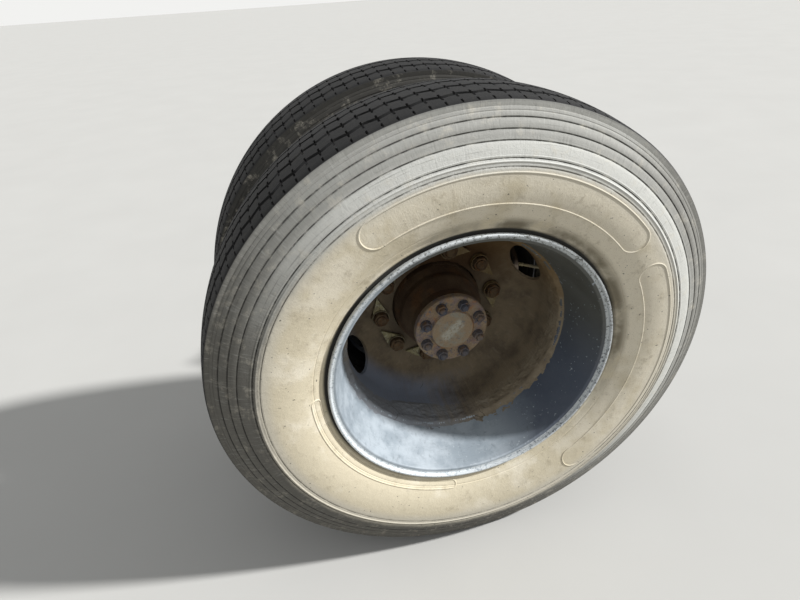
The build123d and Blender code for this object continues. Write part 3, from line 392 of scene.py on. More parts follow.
class Palette:
    """The node tree of one finish or of the surround, with the patterns that several finishes
    share. Lengths in it are millimetres."""

    def __init__(self, owner: bpy.types.Material | bpy.types.World) -> None:
        """Empties the owner's node tree.

        Args:
            owner: A new material, or the world.
        """
        owner.use_nodes = True
        self.tree = owner.node_tree
        self.tree.nodes.clear()

    def add(self, kind: Node, *given: object, **named: object) -> Socket | None:
        """Adds one node, with its settings and what its inputs hold or are linked to.

        Args:
            kind: Which node.
            given: Value, hex colour or socket for each input, in the kind's own order.
            named: The same for more inputs by name, with underscores for spaces.

        Returns:
            An output socket, or None where the node has none.
        """
        blender_name, settings, order, output = kind.value
        node = self.tree.nodes.new(blender_name)
        for name, value in settings.items():
            setattr(node, name, value)
        more = [(name.replace("_", " "), value) for name, value in named.items()]
        for key, value in [*zip(order, given), *more]:
            if isinstance(key, int):
                socket = node.inputs[key]
            else:
                socket = next(s for s in node.inputs if s.enabled and s.name == key)
            if isinstance(value, Socket):
                self.tree.links.new(value, socket)
            else:
                socket.default_value = srgb(value) if isinstance(value, str) else value
        return node.outputs[output] if output else next((s for s in node.outputs if s.enabled), None)

    @cached_property
    def place(self) -> Socket:
        """Object coordinates in millimetres."""
        return self.add(Node.SCALED, self.add(Node.PLACE), 1 / MM)

    @cached_property
    def flat(self) -> Socket:
        """The place without its part along the wheel's axis: (x, 0, z)."""
        return self.add(Node.MASKED, self.place, (1, 0, 1))

    @cached_property
    def radius(self) -> Socket:
        """Distance from the wheel's axis: the length of (x, 0, z)."""
        return self.add(Node.LENGTH, self.flat)

    @cached_property
    def station(self) -> Socket:
        """Place along the wheel's axis."""
        return self.add(Node.STATION, self.place)

    @cached_property
    def seen(self) -> Socket:
        """1 for what the camera sees itself, in a reflection or through glass, 0 for light that bounces."""
        either = self.add(Node.LARGER, self.add(Node.SEEN_BY_CAMERA), self.add(Node.SEEN_IN_GLOSS))
        return self.add(Node.LARGER, either, self.add(Node.SEEN_THROUGH_GLASS))

    def grains(self, *rows: Grain) -> list[Socket]:
        """Cloudy noises from 0 to 1, each with blotches of about one real size.

        Args:
            rows: Size of a blotch in millimetres, octaves, and the share that each finer octave keeps.

        Returns:
            A noise for each row.
        """
        return [self.add(Node.NOISE, self.place, 1 / size, detail, rough) for size, detail, rough in rows]

    def streaks(self, run: Socket, around: float, per_metre: float, detail: float, rough: float) -> Socket:
        """Noise drawn out to streaks: it is read at the unit vector (x, z) / r times one scale, plus a
        length along Y that grows with the radius or the station.

        Args:
            run: The radius, for streaks on a wall, or the station, for those on a barrel.
            around: How fast the noise changes on the way round.
            per_metre: How fast it changes along the run.
            detail: Octaves.
            rough: Share that each finer octave keeps.

        Returns:
            The noise.
        """
        spread = self.add(Node.SCALED, self.add(Node.DIRECTION, self.flat), around)
        rise = self.add(Node.ALONG_Y, self.add(Node.TIMES, run, per_metre * MM))
        return self.add(Node.NOISE, self.add(Node.SHIFTED, spread, rise), 1.0, detail, rough)

    def cover(self, *factors: Factor) -> Socket:
        """How much of a coat shows, as the product of its factors.

        Args:
            factors: Numbers, sockets, and soft steps: (value, low, high) is 0 below low and 1
                above high, or the other way round where low is the larger.

        Returns:
            The product.
        """
        product = None
        for factor in factors:
            if isinstance(factor, tuple):
                factor = self.add(Node.SOFT_STEP, *factor)
            product = factor if product is None else self.add(Node.TIMES, product, factor)
        return product

    def layered(self, colour: Socket | str, *coats: tuple[Socket | str | Factor, ...]) -> Socket:
        """Colours laid one over another.

        Args:
            colour: The lowest one.
            coats: A colour, and then the factors of its cover, for each coat from below.

        Returns:
            The mixed colour.
        """
        for coat, *factors in coats:
            colour = self.add(Node.COATED, self.cover(*factors), colour, coat)
        return colour

    def close(self, colour: Socket, roughness: Socket | float, metallic: Socket | float,
              heights: tuple[tuple[Socket, float], ...] = (), **sockets: float) -> None:
        """Ends the tree in a Principled shader, with one bump node for each height.

        Args:
            colour: Base colour.
            roughness: Roughness.
            metallic: 0 for paint, rust, rubber and dirt, 1 for bare metal.
            heights: Pairs of a 0 to 1 height and its depth in millimetres.
            sockets: Other sockets of the shader, by name with underscores.
        """
        normal: dict[str, Socket] = {}
        for height, depth in heights:
            normal = {"Normal": self.add(Node.BUMP, height, depth * MM, **normal)}
        surface = self.add(Node.SURFACE, colour, roughness, metallic, **normal, **sockets)
        self.add(Node.MATERIAL_OUTPUT, surface)


@dataclass(frozen=True)
class Finish:
    """A finish is named for what the real surface is and how it was made."""

    name: str

    def paint(self, palette: Palette) -> None:
        """Draws the finish in the palette's tree.

        Args:
            palette: The tree of the new material.
        """
        raise NotImplementedError

    def build(self) -> bpy.types.Material:
        """Makes the material.

        Returns:
            The material.
        """
        material = bpy.data.materials.new(self.name)
        self.paint(Palette(material))
        return material


@dataclass(frozen=True)
class MouldedTyreRubber(Finish):
    """Black tyre rubber, moulded: dried tan dust fills the inner wall, the outer wall has
    weathered to a streaky grey, and the tread stays near black. Dead matt. The wall and the dust
    grow paler towards the upper rear, a painted sheen over real blotches, and painted shade darkens
    the ring grooves, the gap at the bead and the bead's upper rear."""

    centre: float
    dust_share: float
    dusty_to: float = 440.0
    bead_to: float = 306.0
    tread_from: float = 509.0
    tread_half: float = 107.0
    dust: str = "#ded3b9"
    pale_dust_and_light: str = "#efe6d1"
    grey_dust: str = "#dad3c2"
    stain: str = "#a99d85"
    bead_dirt_and_shade: str = "#6b624e"
    weathered: str = "#6c6a64"
    bleach_and_sheen: str = "#d9d9d3"
    # Dark rubber for cracks and specks. It is also painted shade: in lines at the ring radii below and in the
    # gap at the bead.
    groove: str = "#3a3936"
    shaded_groove_r: tuple[float, ...] = (421.0, 434.0, 460.0, 476.0, 492.0)
    tread: str = "#101011"
    tread_dust: str = "#26241f"

    def paint(self, palette: Palette) -> None:
        """Mixes dust, weathered wall and tread by their radius on the wheel, with a painted sheen towards
        the upper rear and painted shade in the ring grooves and at the bead.

        Args:
            palette: The tree of the new material.
        """
        add, place, radius = palette.add, palette.place, palette.radius
        blotch, fine, smear, specks, scuffs = palette.grains(
            (70, 5, 0.55), (2.2, 5, 0.7), (24, 6, 0.7), (6.5, 2, 0.4), (14, 6, 0.7))
        # Weather cracks and mould lines are drawn 2 to 3 mm wide, coarser than real ones, so that they show.
        spokes = palette.streaks(radius, 170, 40, 4, 0.65)
        rings = palette.streaks(radius, 4, 330, 4, 0.6)
        # Directions: up, towards the upper rear side, which gets painted sheen and painted shade, and towards
        # the rear.
        high, lit_side, rear = (add(Node.TOWARDS, place, way)
                             for way in ((-0.15, 0.0, 0.99), (0.70, 0.0, 0.71), (1.0, 0.0, 0.0)))
        dust = palette.layered(
            self.dust,
            # Pale dust in blotches, and more of it towards the upper rear: partly real dust, partly painted
            # light.
            (self.pale_dust_and_light, (add(Node.SWAYED, lit_side, 0.35 * MM, blotch), 0.40, 0.62)),
            # Darker near the bead towards the upper rear: painted shade over some dirt.
            (self.bead_dirt_and_shade, (radius, 336, 316), (lit_side, 60, 220), (blotch, 0.30, 0.62), 0.86),
            (self.stain, (smear, 0.53, 0.74), 0.5),
            (self.stain, (fine, 0.55, 0.68), 0.5),
            (self.grey_dust, (radius, 392, 420)),
            (self.groove, (specks, 0.72, 0.78), 0.8),
        )
        wall = palette.layered(
            self.weathered,
            # Paler towards the upper rear: a painted sheen where the key light grazes the wall.
            (self.bleach_and_sheen, (add(Node.SWAYED, blotch, 100, lit_side), -200, 260)),
            (self.groove, (rings, 0.56, 0.72), 0.35),
            (self.weathered, (radius, 452, 470), 0.55),
            (self.weathered, (radius, 458, 480), (rear, 220, 420), 0.6),
            (self.bleach_and_sheen, (spokes, 0.54, 0.74), 0.25),
            (self.groove, (spokes, 0.46, 0.30), 0.20),
            (self.grey_dust, (smear, 0.52, 0.72), 0.35),
        )
        # Dark lines along the ring grooves: painted shade in the recesses.
        for ring_r in self.shaded_groove_r:
            gap = add(Node.UNSIGNED, add(Node.LESS, radius, ring_r))
            line = palette.cover((gap, 1.7, 0.7), (smear, 0.68, 0.42), 0.85)
            wall = palette.layered(wall, (self.groove, line))
            dust = palette.layered(dust, (self.groove, line, 0.8))
        rise = add(Node.SWAYED, high, 0.030, add(Node.SWAYED, smear, 22, radius))
        from_centre = add(Node.LESS, palette.station, self.centre)
        outboard = palette.cover((from_centre, 20, -20))
        share = add(Node.RANGE, outboard, 0.12, self.dust_share)
        # Below the bead radius the dark rubber shows: painted shade in the gap between rim lip and bead.
        colour = palette.layered(
            self.groove,
            (wall, (radius, self.bead_to - 1, self.bead_to + 3), outboard),
            (dust, (rise, self.dusty_to + 9, self.dusty_to - 9),
             (radius, self.bead_to - 3, self.bead_to + 2), share),
            (palette.layered(self.tread, (self.tread_dust, (scuffs, 0.50, 0.74), 0.6)),
             (radius, self.tread_from - 4, self.tread_from),
             (add(Node.UNSIGNED, from_centre), self.tread_half + 2, self.tread_half)),
        )
        palette.close(colour, add(Node.RANGE, fine, 0.78, 0.94), 0.0,
                      ((smear, 1.0), (spokes, 0.25), (fine, 0.35)), Specular_IOR_Level=0.4)


@dataclass(frozen=True)
class SprayedRimEnamel(Finish):
    """Grey synthetic enamel, sprayed on rolled steel: semi-gloss, chipped white and bare along
    the lip, finely scratched round the barrel, with dust and rust spots. Painted shade darkens the
    barrel's upper rear side, bluish lower down, and paints everything inboard of the disc near black."""

    shown_to: float
    lip_r: float = 289.0
    enamel: str = "#8f99a1"
    pale: str = "#a9b2b9"
    chip: str = "#d3d8da"
    scuff: str = "#5d6469"
    # Painted shade colours for the barrel's upper rear side, brownish up high and bluish lower down, then
    # near black for painted shade inboard of the disc.
    film: str = "#48473e"
    low_blue_shade: str = "#3f4757"
    inboard_shade_black: str = "#171512"
    rust: str = "#5c412c"

    def paint(self, palette: Palette) -> None:
        """Lays streaks, painted shade, chips and rust over the enamel. The barrel inboard of the disc and
        the whole inner rim are painted near black, as shade.

        Args:
            palette: The tree of the new material.
        """
        add, place, station = palette.add, palette.place, palette.station
        cloud, chips, patches, spots = palette.grains((60, 6, 0.65), (7, 5, 0.75), (45, 2, 0.55), (5, 4, 0.6))
        # Scratches are drawn 1 mm wide, coarser than real ones, so that they show.
        streaks = palette.streaks(station, 26, 60, 5, 0.7)
        scratches = palette.streaks(station, 7, 900, 3, 0.6)
        nicks = palette.streaks(station, 40, 190, 2, 0.5)
        # Painted shade on the barrel's upper rear side, brownish up high and bluish lower down.
        shade = add(Node.SWAYED, cloud, 160, add(Node.TOWARDS, place, (0.86, 0.0, 0.51)))
        up = add(Node.TOWARDS, place, (0.0, 0.0, 1.0))
        at_lip = palette.cover((palette.radius, self.lip_r - 3, self.lip_r))
        # Inboard of the disc everything is painted near black, as shade.
        inboard_shaded = palette.cover((station, self.shown_to - 3, self.shown_to + 3))
        colour = palette.layered(
            self.enamel,
            (self.pale, (cloud, 0.38, 0.64)),
            (self.scuff, (streaks, 0.53, 0.74), 0.45),
            (self.scuff, (scratches, 0.62, 0.70), 0.5),
            (palette.layered(self.low_blue_shade, (self.film, (up, -120, 100))), (shade, -20, 160), 0.92),
            (self.chip, (chips, 0.70, 0.74)),
            (self.pale, (nicks, 0.66, 0.70), (patches, 0.50, 0.58)),
            (self.chip, at_lip, (chips, 0.36, 0.50)),
            (self.scuff, at_lip, (chips, 0.60, 0.68)),
            (self.rust, (spots, 0.70, 0.78), 0.8),
            (self.inboard_shade_black, inboard_shaded, 0.97),
        )
        gloss = add(Node.RANGE, cloud, 0.40, 0.60, 0.3, 0.7)
        rough = add(Node.SWAYED, inboard_shaded, 0.3, gloss)
        palette.close(colour, rough, 0.0, ((chips, 0.2), (scratches, 0.10)))


@dataclass(frozen=True)
class DriedMudOnSteel(Finish):
    """Painted pressed steel under dried road mud: brown and flaking near the hub, with dark cracks,
    and a painted bluish sky reflection over the lower part."""

    mud: str = "#877963"
    dark_mud: str = "#5f5446"
    rusty_mud: str = "#6e5229"
    pale_mud: str = "#a29682"
    sky_reflection_blue: str = "#828b9c"
    upper_inner_brown: str = "#43290c"
    crack: str = "#211b15"
    crack_cell: float = 1 / 0.018
    crack_bend: float = 30.0

    def paint(self, palette: Palette) -> None:
        """Mixes the kinds of mud by soft blotches, height and distance from the hub. Cracks follow the
        edges of cells about 55 mm wide, bent by up to the size of a coarse noise.

        Args:
            palette: The tree of the new material.
        """
        add, place, radius = palette.add, palette.place, palette.radius
        blotch, grit, dry = palette.grains((75, 5, 0.6), (4, 6, 0.7), (90, 2, 0.55))
        drifts = palette.streaks(radius, 22, 55, 5, 0.65)
        high = add(Node.SWAYED, blotch, 100, add(Node.TOWARDS, place, (0.12, 0.0, 0.99)))
        # Measured towards the upper rear; the painted sky reflection goes on the opposite, lower front side.
        low = add(Node.SWAYED, blotch, 140, add(Node.TOWARDS, place, (0.75, 0.0, 0.66)))
        low = add(Node.SWAYED, drifts, 100, low)
        bend = add(Node.SCALED, add(Node.NOISE_VECTOR, place, 1 / self.crack_bend, 3), self.crack_bend)
        edges = add(Node.CELL_EDGES, add(Node.SHIFTED, place, bend), 1 / self.crack_cell)
        colour = palette.layered(
            self.mud,
            (self.dark_mud, (blotch, 0.38, 0.72)),
            (self.pale_mud, (drifts, 0.50, 0.76), 0.35),
            (self.rusty_mud, (high, 60, 220), 0.7),
            # Bluish low on the disc: painted sky reflection.
            (self.sky_reflection_blue, (low, 40, -120), (radius, 204, 243), 0.95),
            (self.pale_mud, (grit, 0.58, 0.74), 0.35),
            (self.dark_mud, (radius, 156, 118), 0.6),
            # Darker brown towards the top, inside 215 mm.
            (self.upper_inner_brown, (radius, 215, 150), (high, 70, 170), 0.75),
            (self.crack, (edges, 0.022, 0.0), (dry, 0.58, 0.66), 0.7),
        )
        palette.close(colour, add(Node.RANGE, grit, 0.78, 0.97), 0.0, ((drifts, 1.5), (grit, 0.7)),
                      Specular_IOR_Level=0.3)


@dataclass(frozen=True)
class RustedIron(Finish):
    """Cast or forged iron left bare: brown scale with orange bloom, dark pits and road dust."""

    scale: str
    bloom: str
    pit: str
    dust: str
    dust_share: float
    coarse: float
    lump: float

    def paint(self, palette: Palette) -> None:
        """Lays bloom, pits and dust over the scale.

        Args:
            palette: The tree of the new material.
        """
        # Rust's own grit is under 1 mm and is drawn at 3 mm, so that it shows.
        blotch, grit, film = palette.grains((self.coarse, 6, 0.65), (3, 6, 0.72), (self.coarse * 1.7, 5, 0.6))
        colour = palette.layered(
            self.scale,
            (self.bloom, (blotch, 0.48, 0.66)),
            (self.pit, (grit, 0.50, 0.36), 0.8),
            (self.dust, (film, 0.40, 0.64), self.dust_share),
        )
        rough = palette.add(Node.RANGE, grit, 0.66, 0.95)
        palette.close(colour, rough, 0.0, ((blotch, self.lump), (grit, 0.5)), Specular_IOR_Level=0.35)


@dataclass(frozen=True)
class ForgedFlangeScale(Finish):
    """Forged steel drive flange and half shaft: rusty face with a greyer boss in the middle,
    a dark ring round it, and turned bare steel along the shaft."""

    face_y: float
    boss_r: float = 48.0
    rim: str = "#9a866c"
    bloom: str = "#9d734a"
    grey: str = "#59606e"
    plum: str = "#7f7073"
    pit: str = "#493a30"
    boss: str = "#948f80"
    boss_pale: str = "#b5b1a2"
    turned: str = "#8d8983"

    def paint(self, palette: Palette) -> None:
        """Chooses by radius between boss and rim, and by station between face and shaft.

        Args:
            palette: The tree of the new material.
        """
        add, place, radius = palette.add, palette.place, palette.radius
        blotch, grit, plums, greys, bosses, wipes, smears = palette.grains(
            (20, 6, 0.65), (2.5, 6, 0.72), (24, 5, 0.6), (13, 5, 0.7),
            (20, 6, 0.7), (7, 5, 0.7), (11, 6, 0.75))
        beside = add(Node.UNSIGNED, add(Node.TOWARDS, place, (0.65, 0.0, -0.76)))
        lower = add(Node.TOWARDS, place, (0.6, 0.0, -0.8))
        inboard = palette.cover((palette.station, self.face_y + 60, self.face_y + 90))
        middle = palette.layered(
            self.rim,
            (self.boss, (bosses, 0.44, 0.64)),
            (self.pit, (grit, 0.46, 0.34), 0.45),
            (self.boss_pale, (beside, 17, 6), (radius, 36, 24), (wipes, 0.36, 0.54)),
            (self.grey, (smears, 0.55, 0.68), 0.6),
            (self.rim, (grit, 0.55, 0.68), 0.5),
        )
        colour = palette.layered(
            self.rim,
            (self.bloom, (blotch, 0.54, 0.68)),
            (self.plum, (plums, 0.46, 0.62), 0.7),
            (self.grey, (greys, 0.54, 0.64), 0.8),
            (self.pit, (grit, 0.48, 0.34), 0.7),
            (self.boss_pale, (grit, 0.60, 0.72), 0.55),
            (middle, (radius, self.boss_r + 0.5, self.boss_r - 1)),
            (self.bloom, (radius, self.boss_r - 2, self.boss_r + 1),
             (radius, self.boss_r + 5, self.boss_r + 2), (lower, -10, 30)),
            (palette.layered(self.turned, (self.rim, (blotch, 0.50, 0.70), 0.7)), inboard),
        )
        bare = palette.cover(inboard, (blotch, 0.62, 0.50))
        palette.close(colour, add(Node.RANGE, bare, 0.86, 0.42), bare, ((blotch, 0.5), (grit, 0.4)))


class Coat(Enum):
    """How an axle part was coated at the works: colours of the coat, of the dust on it and of the
    spots where it failed, then how metallic and how rough it is, and the share of dust."""

    CHASSIS_PAINT = ("#26272a", "#6d6557", "#5b3d28", 0.0, 0.48, 0.55)
    SHIELD_PAINT = ("#2e2f31", "#736a5a", "#644128", 0.0, 0.55, 0.60)
    ZINC = ("#a9a69b", "#7d7566", "#d2cfc4", 0.85, 0.42, 0.50)
    BARE_ALUMINIUM = ("#9fa0a0", "#79726a", "#c5c4bf", 0.75, 0.50, 0.45)
    DULL_BRASS = ("#8f8568", "#8b867a", "#aca797", 0.6, 0.50, 0.85)


@dataclass(frozen=True)
class CoatedMetal(Finish):
    """A factory coat on steel or aluminium after years on the road: the coat itself, dust that
    dulls it, rust or white bloom where it has failed, and fine orange peel or casting grain."""

    coat: Coat

    def paint(self, palette: Palette) -> None:
        """Lays dust and failed spots over the coat. Both take its gloss and its metal.

        Args:
            palette: The tree of the new material.
        """
        base, dust, failed, metal, rough, share = self.coat.value
        # Orange peel is under 1 mm on a real coat and is drawn at 2.4 mm, so that it shows.
        cloud, peel, spots = palette.grains((55, 6, 0.6), (2.4, 4, 0.6), (11, 6, 0.7))
        film = palette.cover((cloud, 0.38, 0.66), share)
        spots = palette.cover((spots, 0.60, 0.68))
        colour = palette.layered(base, (dust, film), (failed, spots, 0.75))
        covered = palette.add(Node.LARGER, film, spots)
        bare = palette.add(Node.RANGE, covered, metal, 0.0) if metal else 0.0
        dulled = palette.add(Node.RANGE, covered, rough, 0.88)
        palette.close(colour, dulled, bare, ((cloud, 0.3), (peel, 0.12)))


@dataclass(frozen=True)
class FadedPointerPlastic(Finish):
    """Injection-moulded yellow nylon, faded by the sun and dusty: pale, chalky, a little waxy."""

    ring_top: float
    ring_proud: float = 4.0
    plastic: str = "#a39a70"
    chalk: str = "#bab494"
    dirt: str = "#5c5040"
    brown: str = "#6a5128"

    def paint(self, palette: Palette) -> None:
        """Chalks the plastic in patches and dirties it, most of all on the ring round the nut and
        on the tongues at the upper rear, where mud stays.

        Args:
            palette: The tree of the new material.
        """
        tongue_y = self.ring_top + self.ring_proud
        patch, dirt = palette.grains((14, 5, 0.6), (9, 6, 0.7))
        upper_rear = palette.add(Node.TOWARDS, palette.place, (0.75, 0.0, 0.66))
        colour = palette.layered(
            self.plastic,
            (self.chalk, (patch, 0.44, 0.66)),
            (self.dirt, (dirt, 0.46, 0.66), 0.85),
            (self.dirt, (palette.station, tongue_y + 0.5, tongue_y - 1.5), 0.75),
            (self.brown, (upper_rear, 40, 130), (patch, 0.25, 0.5), 0.8),
        )
        palette.close(colour, 0.66, 0.0, ((dirt, 0.3),))


@dataclass(frozen=True)
class PaleStudioFloor(Finish):
    """Matt painted studio floor with a barely visible mottle. It shows pale, and throws back
    little light, as a dull ground does."""

    name: str = "matt_painted_studio_floor"
    pale: str = "#c4c3bf"
    mottle: str = "#bdbcb8"
    ground: str = "#86847e"

    def paint(self, palette: Palette) -> None:
        """Mottles the paint, and dulls it for light that bounces.

        Args:
            palette: The tree of the new material.
        """
        shown = palette.layered(self.pale, (self.mottle, *palette.grains((400, 3, 0.55))))
        palette.close(palette.layered(self.ground, (shown, palette.seen)), 0.9, 0.0, Specular_IOR_Level=0.2)


# Places read from the frame


@dataclass(frozen=True)
class Stations:
    """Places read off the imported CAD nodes, in millimetres."""

    outer_rim: float
    inner_rim: float
    nut_face: float
    nut_top: float
    stud_tip: float
    pointer_top: float
    drive_face: float
    drive_nut_tip: float
    disc_end: float
    disc_radius: float
    floor: float

    @staticmethod
    def read() -> "Stations":
        """Measures the CAD boxes of the nodes that the looks are set against.

        Returns:
            The stations.
        """
        low: dict[str, Vector] = {}
        high: dict[str, Vector] = {}
        for name in ("outer_rim", "inner_rim", "outer_tyre", "wheel_nuts", "wheel_studs", "hub",
                     "nut_pointers", "drive_studs", "outer_disc"):
            low[name], high[name] = (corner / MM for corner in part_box(name))
        return Stations(
            outer_rim=(low["outer_rim"].y + high["outer_rim"].y) / 2,
            inner_rim=(low["inner_rim"].y + high["inner_rim"].y) / 2,
            nut_face=high["wheel_nuts"].y,
            nut_top=low["wheel_nuts"].y,
            stud_tip=low["wheel_studs"].y,
            pointer_top=low["nut_pointers"].y,
            drive_face=low["hub"].y,
            drive_nut_tip=low["drive_studs"].y,
            disc_end=low["outer_disc"].y,
            disc_radius=high["outer_disc"].x,
            floor=low["outer_tyre"].z,
        )


# Tyres


@dataclass
class Tyre:
    """Radial bus tyre: a moulded casing with ringed walls, and a grooved tread band.

    Lengths are in millimetres; u is measured from the tyre's centre plane. The shown wall is at -1
    outboard or at 1 inboard. A ring is its radius, half width and height. A cut is its length in from
    the groove and its depth; those at the shoulder are three stations. A side is a drop below the crown
    and a station. A panel is the angles of its ends, in degrees from +X towards +Z, and its inner and
    outer radius. A bead is its half width and height.
    """

    node: str
    centre: float
    shown: float
    finish: bpy.types.Material
    radius: float = 526.8
    tread_half: float = 106.0
    crown_drop: float = 9.0
    shoulder: Row = (110.0, 506.0)
    widest: Row = (138.2, 408.0)
    foot: Row = (107.8, 305.5)
    steps: int = 400
    rings: tuple[Triple, ...] = (
        (309.5, 4.0, 1.8), (326.0, 1.3, -0.7), (421.0, 1.2, -0.8), (429.0, 2.6, 1.3), (434.0, 1.5, -1.9),
        (437.5, 1.6, 0.5), (460.0, 1.8, -1.8), (476.0, 1.8, -1.8), (492.0, 1.8, -1.8), (501.0, 1.2, -0.9),
    )
    grooves: tuple[float, ...] = (-70.0, -24.0, 24.0, 70.0)
    groove_half: float = 5.5
    groove_depth: float = 11.0
    groove_wall: float = 1.5
    cut: Row = (8.0, 4.0)
    cut_edge: float = 1.0
    shoulder_cut: Triple = (94.0, 95.0, 102.0)
    sides: tuple[Row, ...] = ((10.0, 106.0), (11.5, 108.2), (15.0, 108.9))
    zigzag: float = 3.0
    pitches: int = 64
    hollow: tuple[Row, ...] = (
        (300.0, 104.8), (291.5, 104.6), (286.0, 100.0), (279.6, 78.6), (295.0, 80.5), (312.0, 84.6),
        (355.0, 113.0), (408.0, 122.5), (455.0, 112.0), (487.0, 89.0), (492.0, 53.0), (493.0, 0.0),
    )
    panels: tuple[tuple[float, float, float, float], ...] = (
        (36.8, 122.6, 358.0, 412.0), (-55.6, 29.6, 358.0, 412.0), (178.0, 262.0, 314.5, 332.0),
    )
    bead: Row = (1.9, 1.1)

    def wall_arc(self) -> tuple[float, float, float]:
        """Circle through shoulder, widest point and foot, where the perpendicular bisectors meet.

        Returns:
            Its centre's u and radius on the wheel, and its own radius.
        """
        a, b, c = (np.array(p) for p in (self.shoulder, self.widest, self.foot))
        middle = np.linalg.solve(2 * np.array([b - a, c - a]), np.array([b @ b - a @ a, c @ c - a @ a]))
        return middle[0], middle[1], float(np.hypot(*(a - middle)))

    def wall(self, r: np.ndarray, lift: np.ndarray | float = 0.0) -> np.ndarray:
        """Point on the wall at a wheel radius, raised along the wall's normal: the arc is
        u = uc + sqrt(R^2 - (r - rc)^2).

        Args:
            r: Wheel radius of each point.
            lift: Height over the wall.

        Returns:
            Rows of (radius, u).
        """
        arc_u, arc_r, arc = self.wall_arc()
        u = arc_u + np.sqrt(arc ** 2 - (r - arc_r) ** 2)
        return np.stack([r + (r - arc_r) / arc * lift, u + (u - arc_u) / arc * lift], axis=-1)

    def relief(self, r: np.ndarray) -> np.ndarray:
        """Height of the moulded rings: each is height x (1 + cos(pi d / w)) / 2 within w of its radius.

        Args:
            r: Wheel radius of each point.

        Returns:
            Height over the plain wall.
        """
        height = np.zeros_like(r)
        for ring_r, half, rise in self.rings:
            away = np.abs(r - ring_r)
            height += np.where(away < half, rise * (1 + np.cos(math.pi * away / half)) / 2, 0)
        return height

    def casing(self) -> Surface:
        """Casing as one closed section carried round the wheel: ringed walls, beads and the hollow inside.

        Returns:
            The surface.
        """
        foot, top = self.foot[1], self.shoulder[1]
        fine = [np.linspace(ring_r - 1.05 * half, ring_r + 1.05 * half, 7) for ring_r, half, _ in self.rings]
        r = np.clip(np.unique(np.concatenate([np.linspace(foot, top, 28), *fine])), foot, top)[::-1]
        under_tread = [(top - 2.0, 0.0), (top - 2.0, 60.0), (top + 1.5, self.shoulder[0] - 5.0)]
        rows = np.array([*under_tread, *self.wall(r, self.relief(r)), *self.hollow])
        section = np.concatenate([rows, rows[-2:0:-1] * (1, -1)])
        angles = full_turn(self.steps)[:, None]
        return swept(round_axis(section[:, 0], self.centre + section[:, 1], angles), ring=True)

    def tread(self) -> Surface:
        """Tread band: a crowned surface, lowered in zigzag grooves and in short cuts across the rib edges.

        The zigzag moves a groove's lines sideways by a triangle wave of the angle; a cut lowers
        the points near a rib's edge over a small share of each pitch.

        Returns:
            The surface.
        """
        half, (cut_length, cut_depth) = self.groove_half, self.cut
        lines = [(0.0, 0.0, 0.0, 0.0)]
        for u in self.grooves:
            for sign in (-1, 1):
                lines += [(u + sign * (half + cut_length + self.cut_edge), 0, 0, .6),
                          (u + sign * (half + cut_length), 0, 1, .7),
                          (u + sign * half, 0, 1, 1), (u + sign * (half - self.groove_wall), 1, 0, 1)]
        for sign in (-1, 1):
            lines += [(sign * u, 0, float(place > 0), 0) for place, u in enumerate(self.shoulder_cut)]
        u, deep, cut, sway = np.array(sorted(lines)).T
        phase = np.tile([0, .03, .05, .09, .11, .30, .50, .53, .55, .59, .61, .80], self.pitches)
        turn = (np.repeat(np.arange(self.pitches), len(phase) // self.pitches) + phase) / self.pitches
        wave = 1 - 4 * np.abs(phase - 0.5)
        in_cut = np.isin(phase, (.05, .09, .55, .59)).astype(float)
        grid_u = u + self.zigzag * sway * wave[:, None]
        crown = self.radius - self.crown_drop * (grid_u / self.tread_half) ** 2
        grid_r = crown - self.groove_depth * deep - cut_depth * cut * (1 - deep) * in_cut[:, None]
        foot = self.shoulder[1] - 1
        sides = np.array([*((self.radius - drop, u) for drop, u in self.sides),
                          (foot, self.sides[-1][1]), (foot, 0.0)])
        closing = np.concatenate([sides, sides[-2::-1] * (1, -1)])
        around = (len(turn), len(closing))
        radius = np.concatenate([grid_r, np.broadcast_to(closing[:, 0], around)], axis=1)
        offset = np.concatenate([grid_u, np.broadcast_to(closing[:, 1], around)], axis=1)
        return swept(round_axis(radius, self.centre + offset, turn[:, None] * TAU), ring=True)

    def panel_outline(self, start: float, end: float, inner: float, outer: float) -> Surface:
        """Bare panel: a raised bead carried round a long oval on the wall.

        The oval's middle line is two arcs of the wheel joined by half circles; the bead's
        section is an arch that rises from just under the wall.

        Args:
            start: Angle of the oval's first end, in degrees.
            end: Angle of its other end.
            inner: Radius of its inner arc.
            outer: Radius of its outer arc.

        Returns:
            The surface.
        """
        middle, cap = (inner + outer) / 2, (outer - inner) / 2
        reach = cap / middle
        first, last = math.radians(start) + reach, math.radians(end) - reach
        run = np.linspace(first, last, 90)
        bend = np.linspace(-math.pi / 2, math.pi / 2, 20)[1:-1]
        back = bend[::-1]
        arcs = [(run, np.full(90, outer), 0 * run + 1, 0 * run),
                (last + reach * np.cos(back), middle + cap * np.sin(back), np.sin(back), np.cos(back)),
                (run[::-1], np.full(90, inner), 0 * run - 1, 0 * run),
                (first - reach * np.cos(bend), middle + cap * np.sin(bend), np.sin(bend), -np.cos(bend))]
        return self.raised(*(np.concatenate(columns)[:, None] for columns in zip(*arcs)))

    def raised(self, angle: np.ndarray, r: np.ndarray, out: np.ndarray, side: np.ndarray) -> Surface:
        """Arch-shaped bead along a closed path on the shown wall, in five points from foot to foot.

        Args:
            angle: Angle of each path point, in radians, as a column.
            r: Its wheel radius.
            out: Radial part of the path's sideways direction.
            side: Tangential part of it.

        Returns:
            The surface.
        """
        width, height = self.bead
        across = np.array([-1.0, -0.6, 0.0, 0.6, 1.0])
        rise = np.array([-0.4, 0.8 * height, height, 0.8 * height, -0.4])
        point_r = r + across * width * out
        placed = self.wall(point_r, np.broadcast_to(rise, point_r.shape))
        y = self.centre + self.shown * placed[..., 1]
        return swept(round_axis(placed[..., 0], y, angle + across * width * side / r), ring=True)

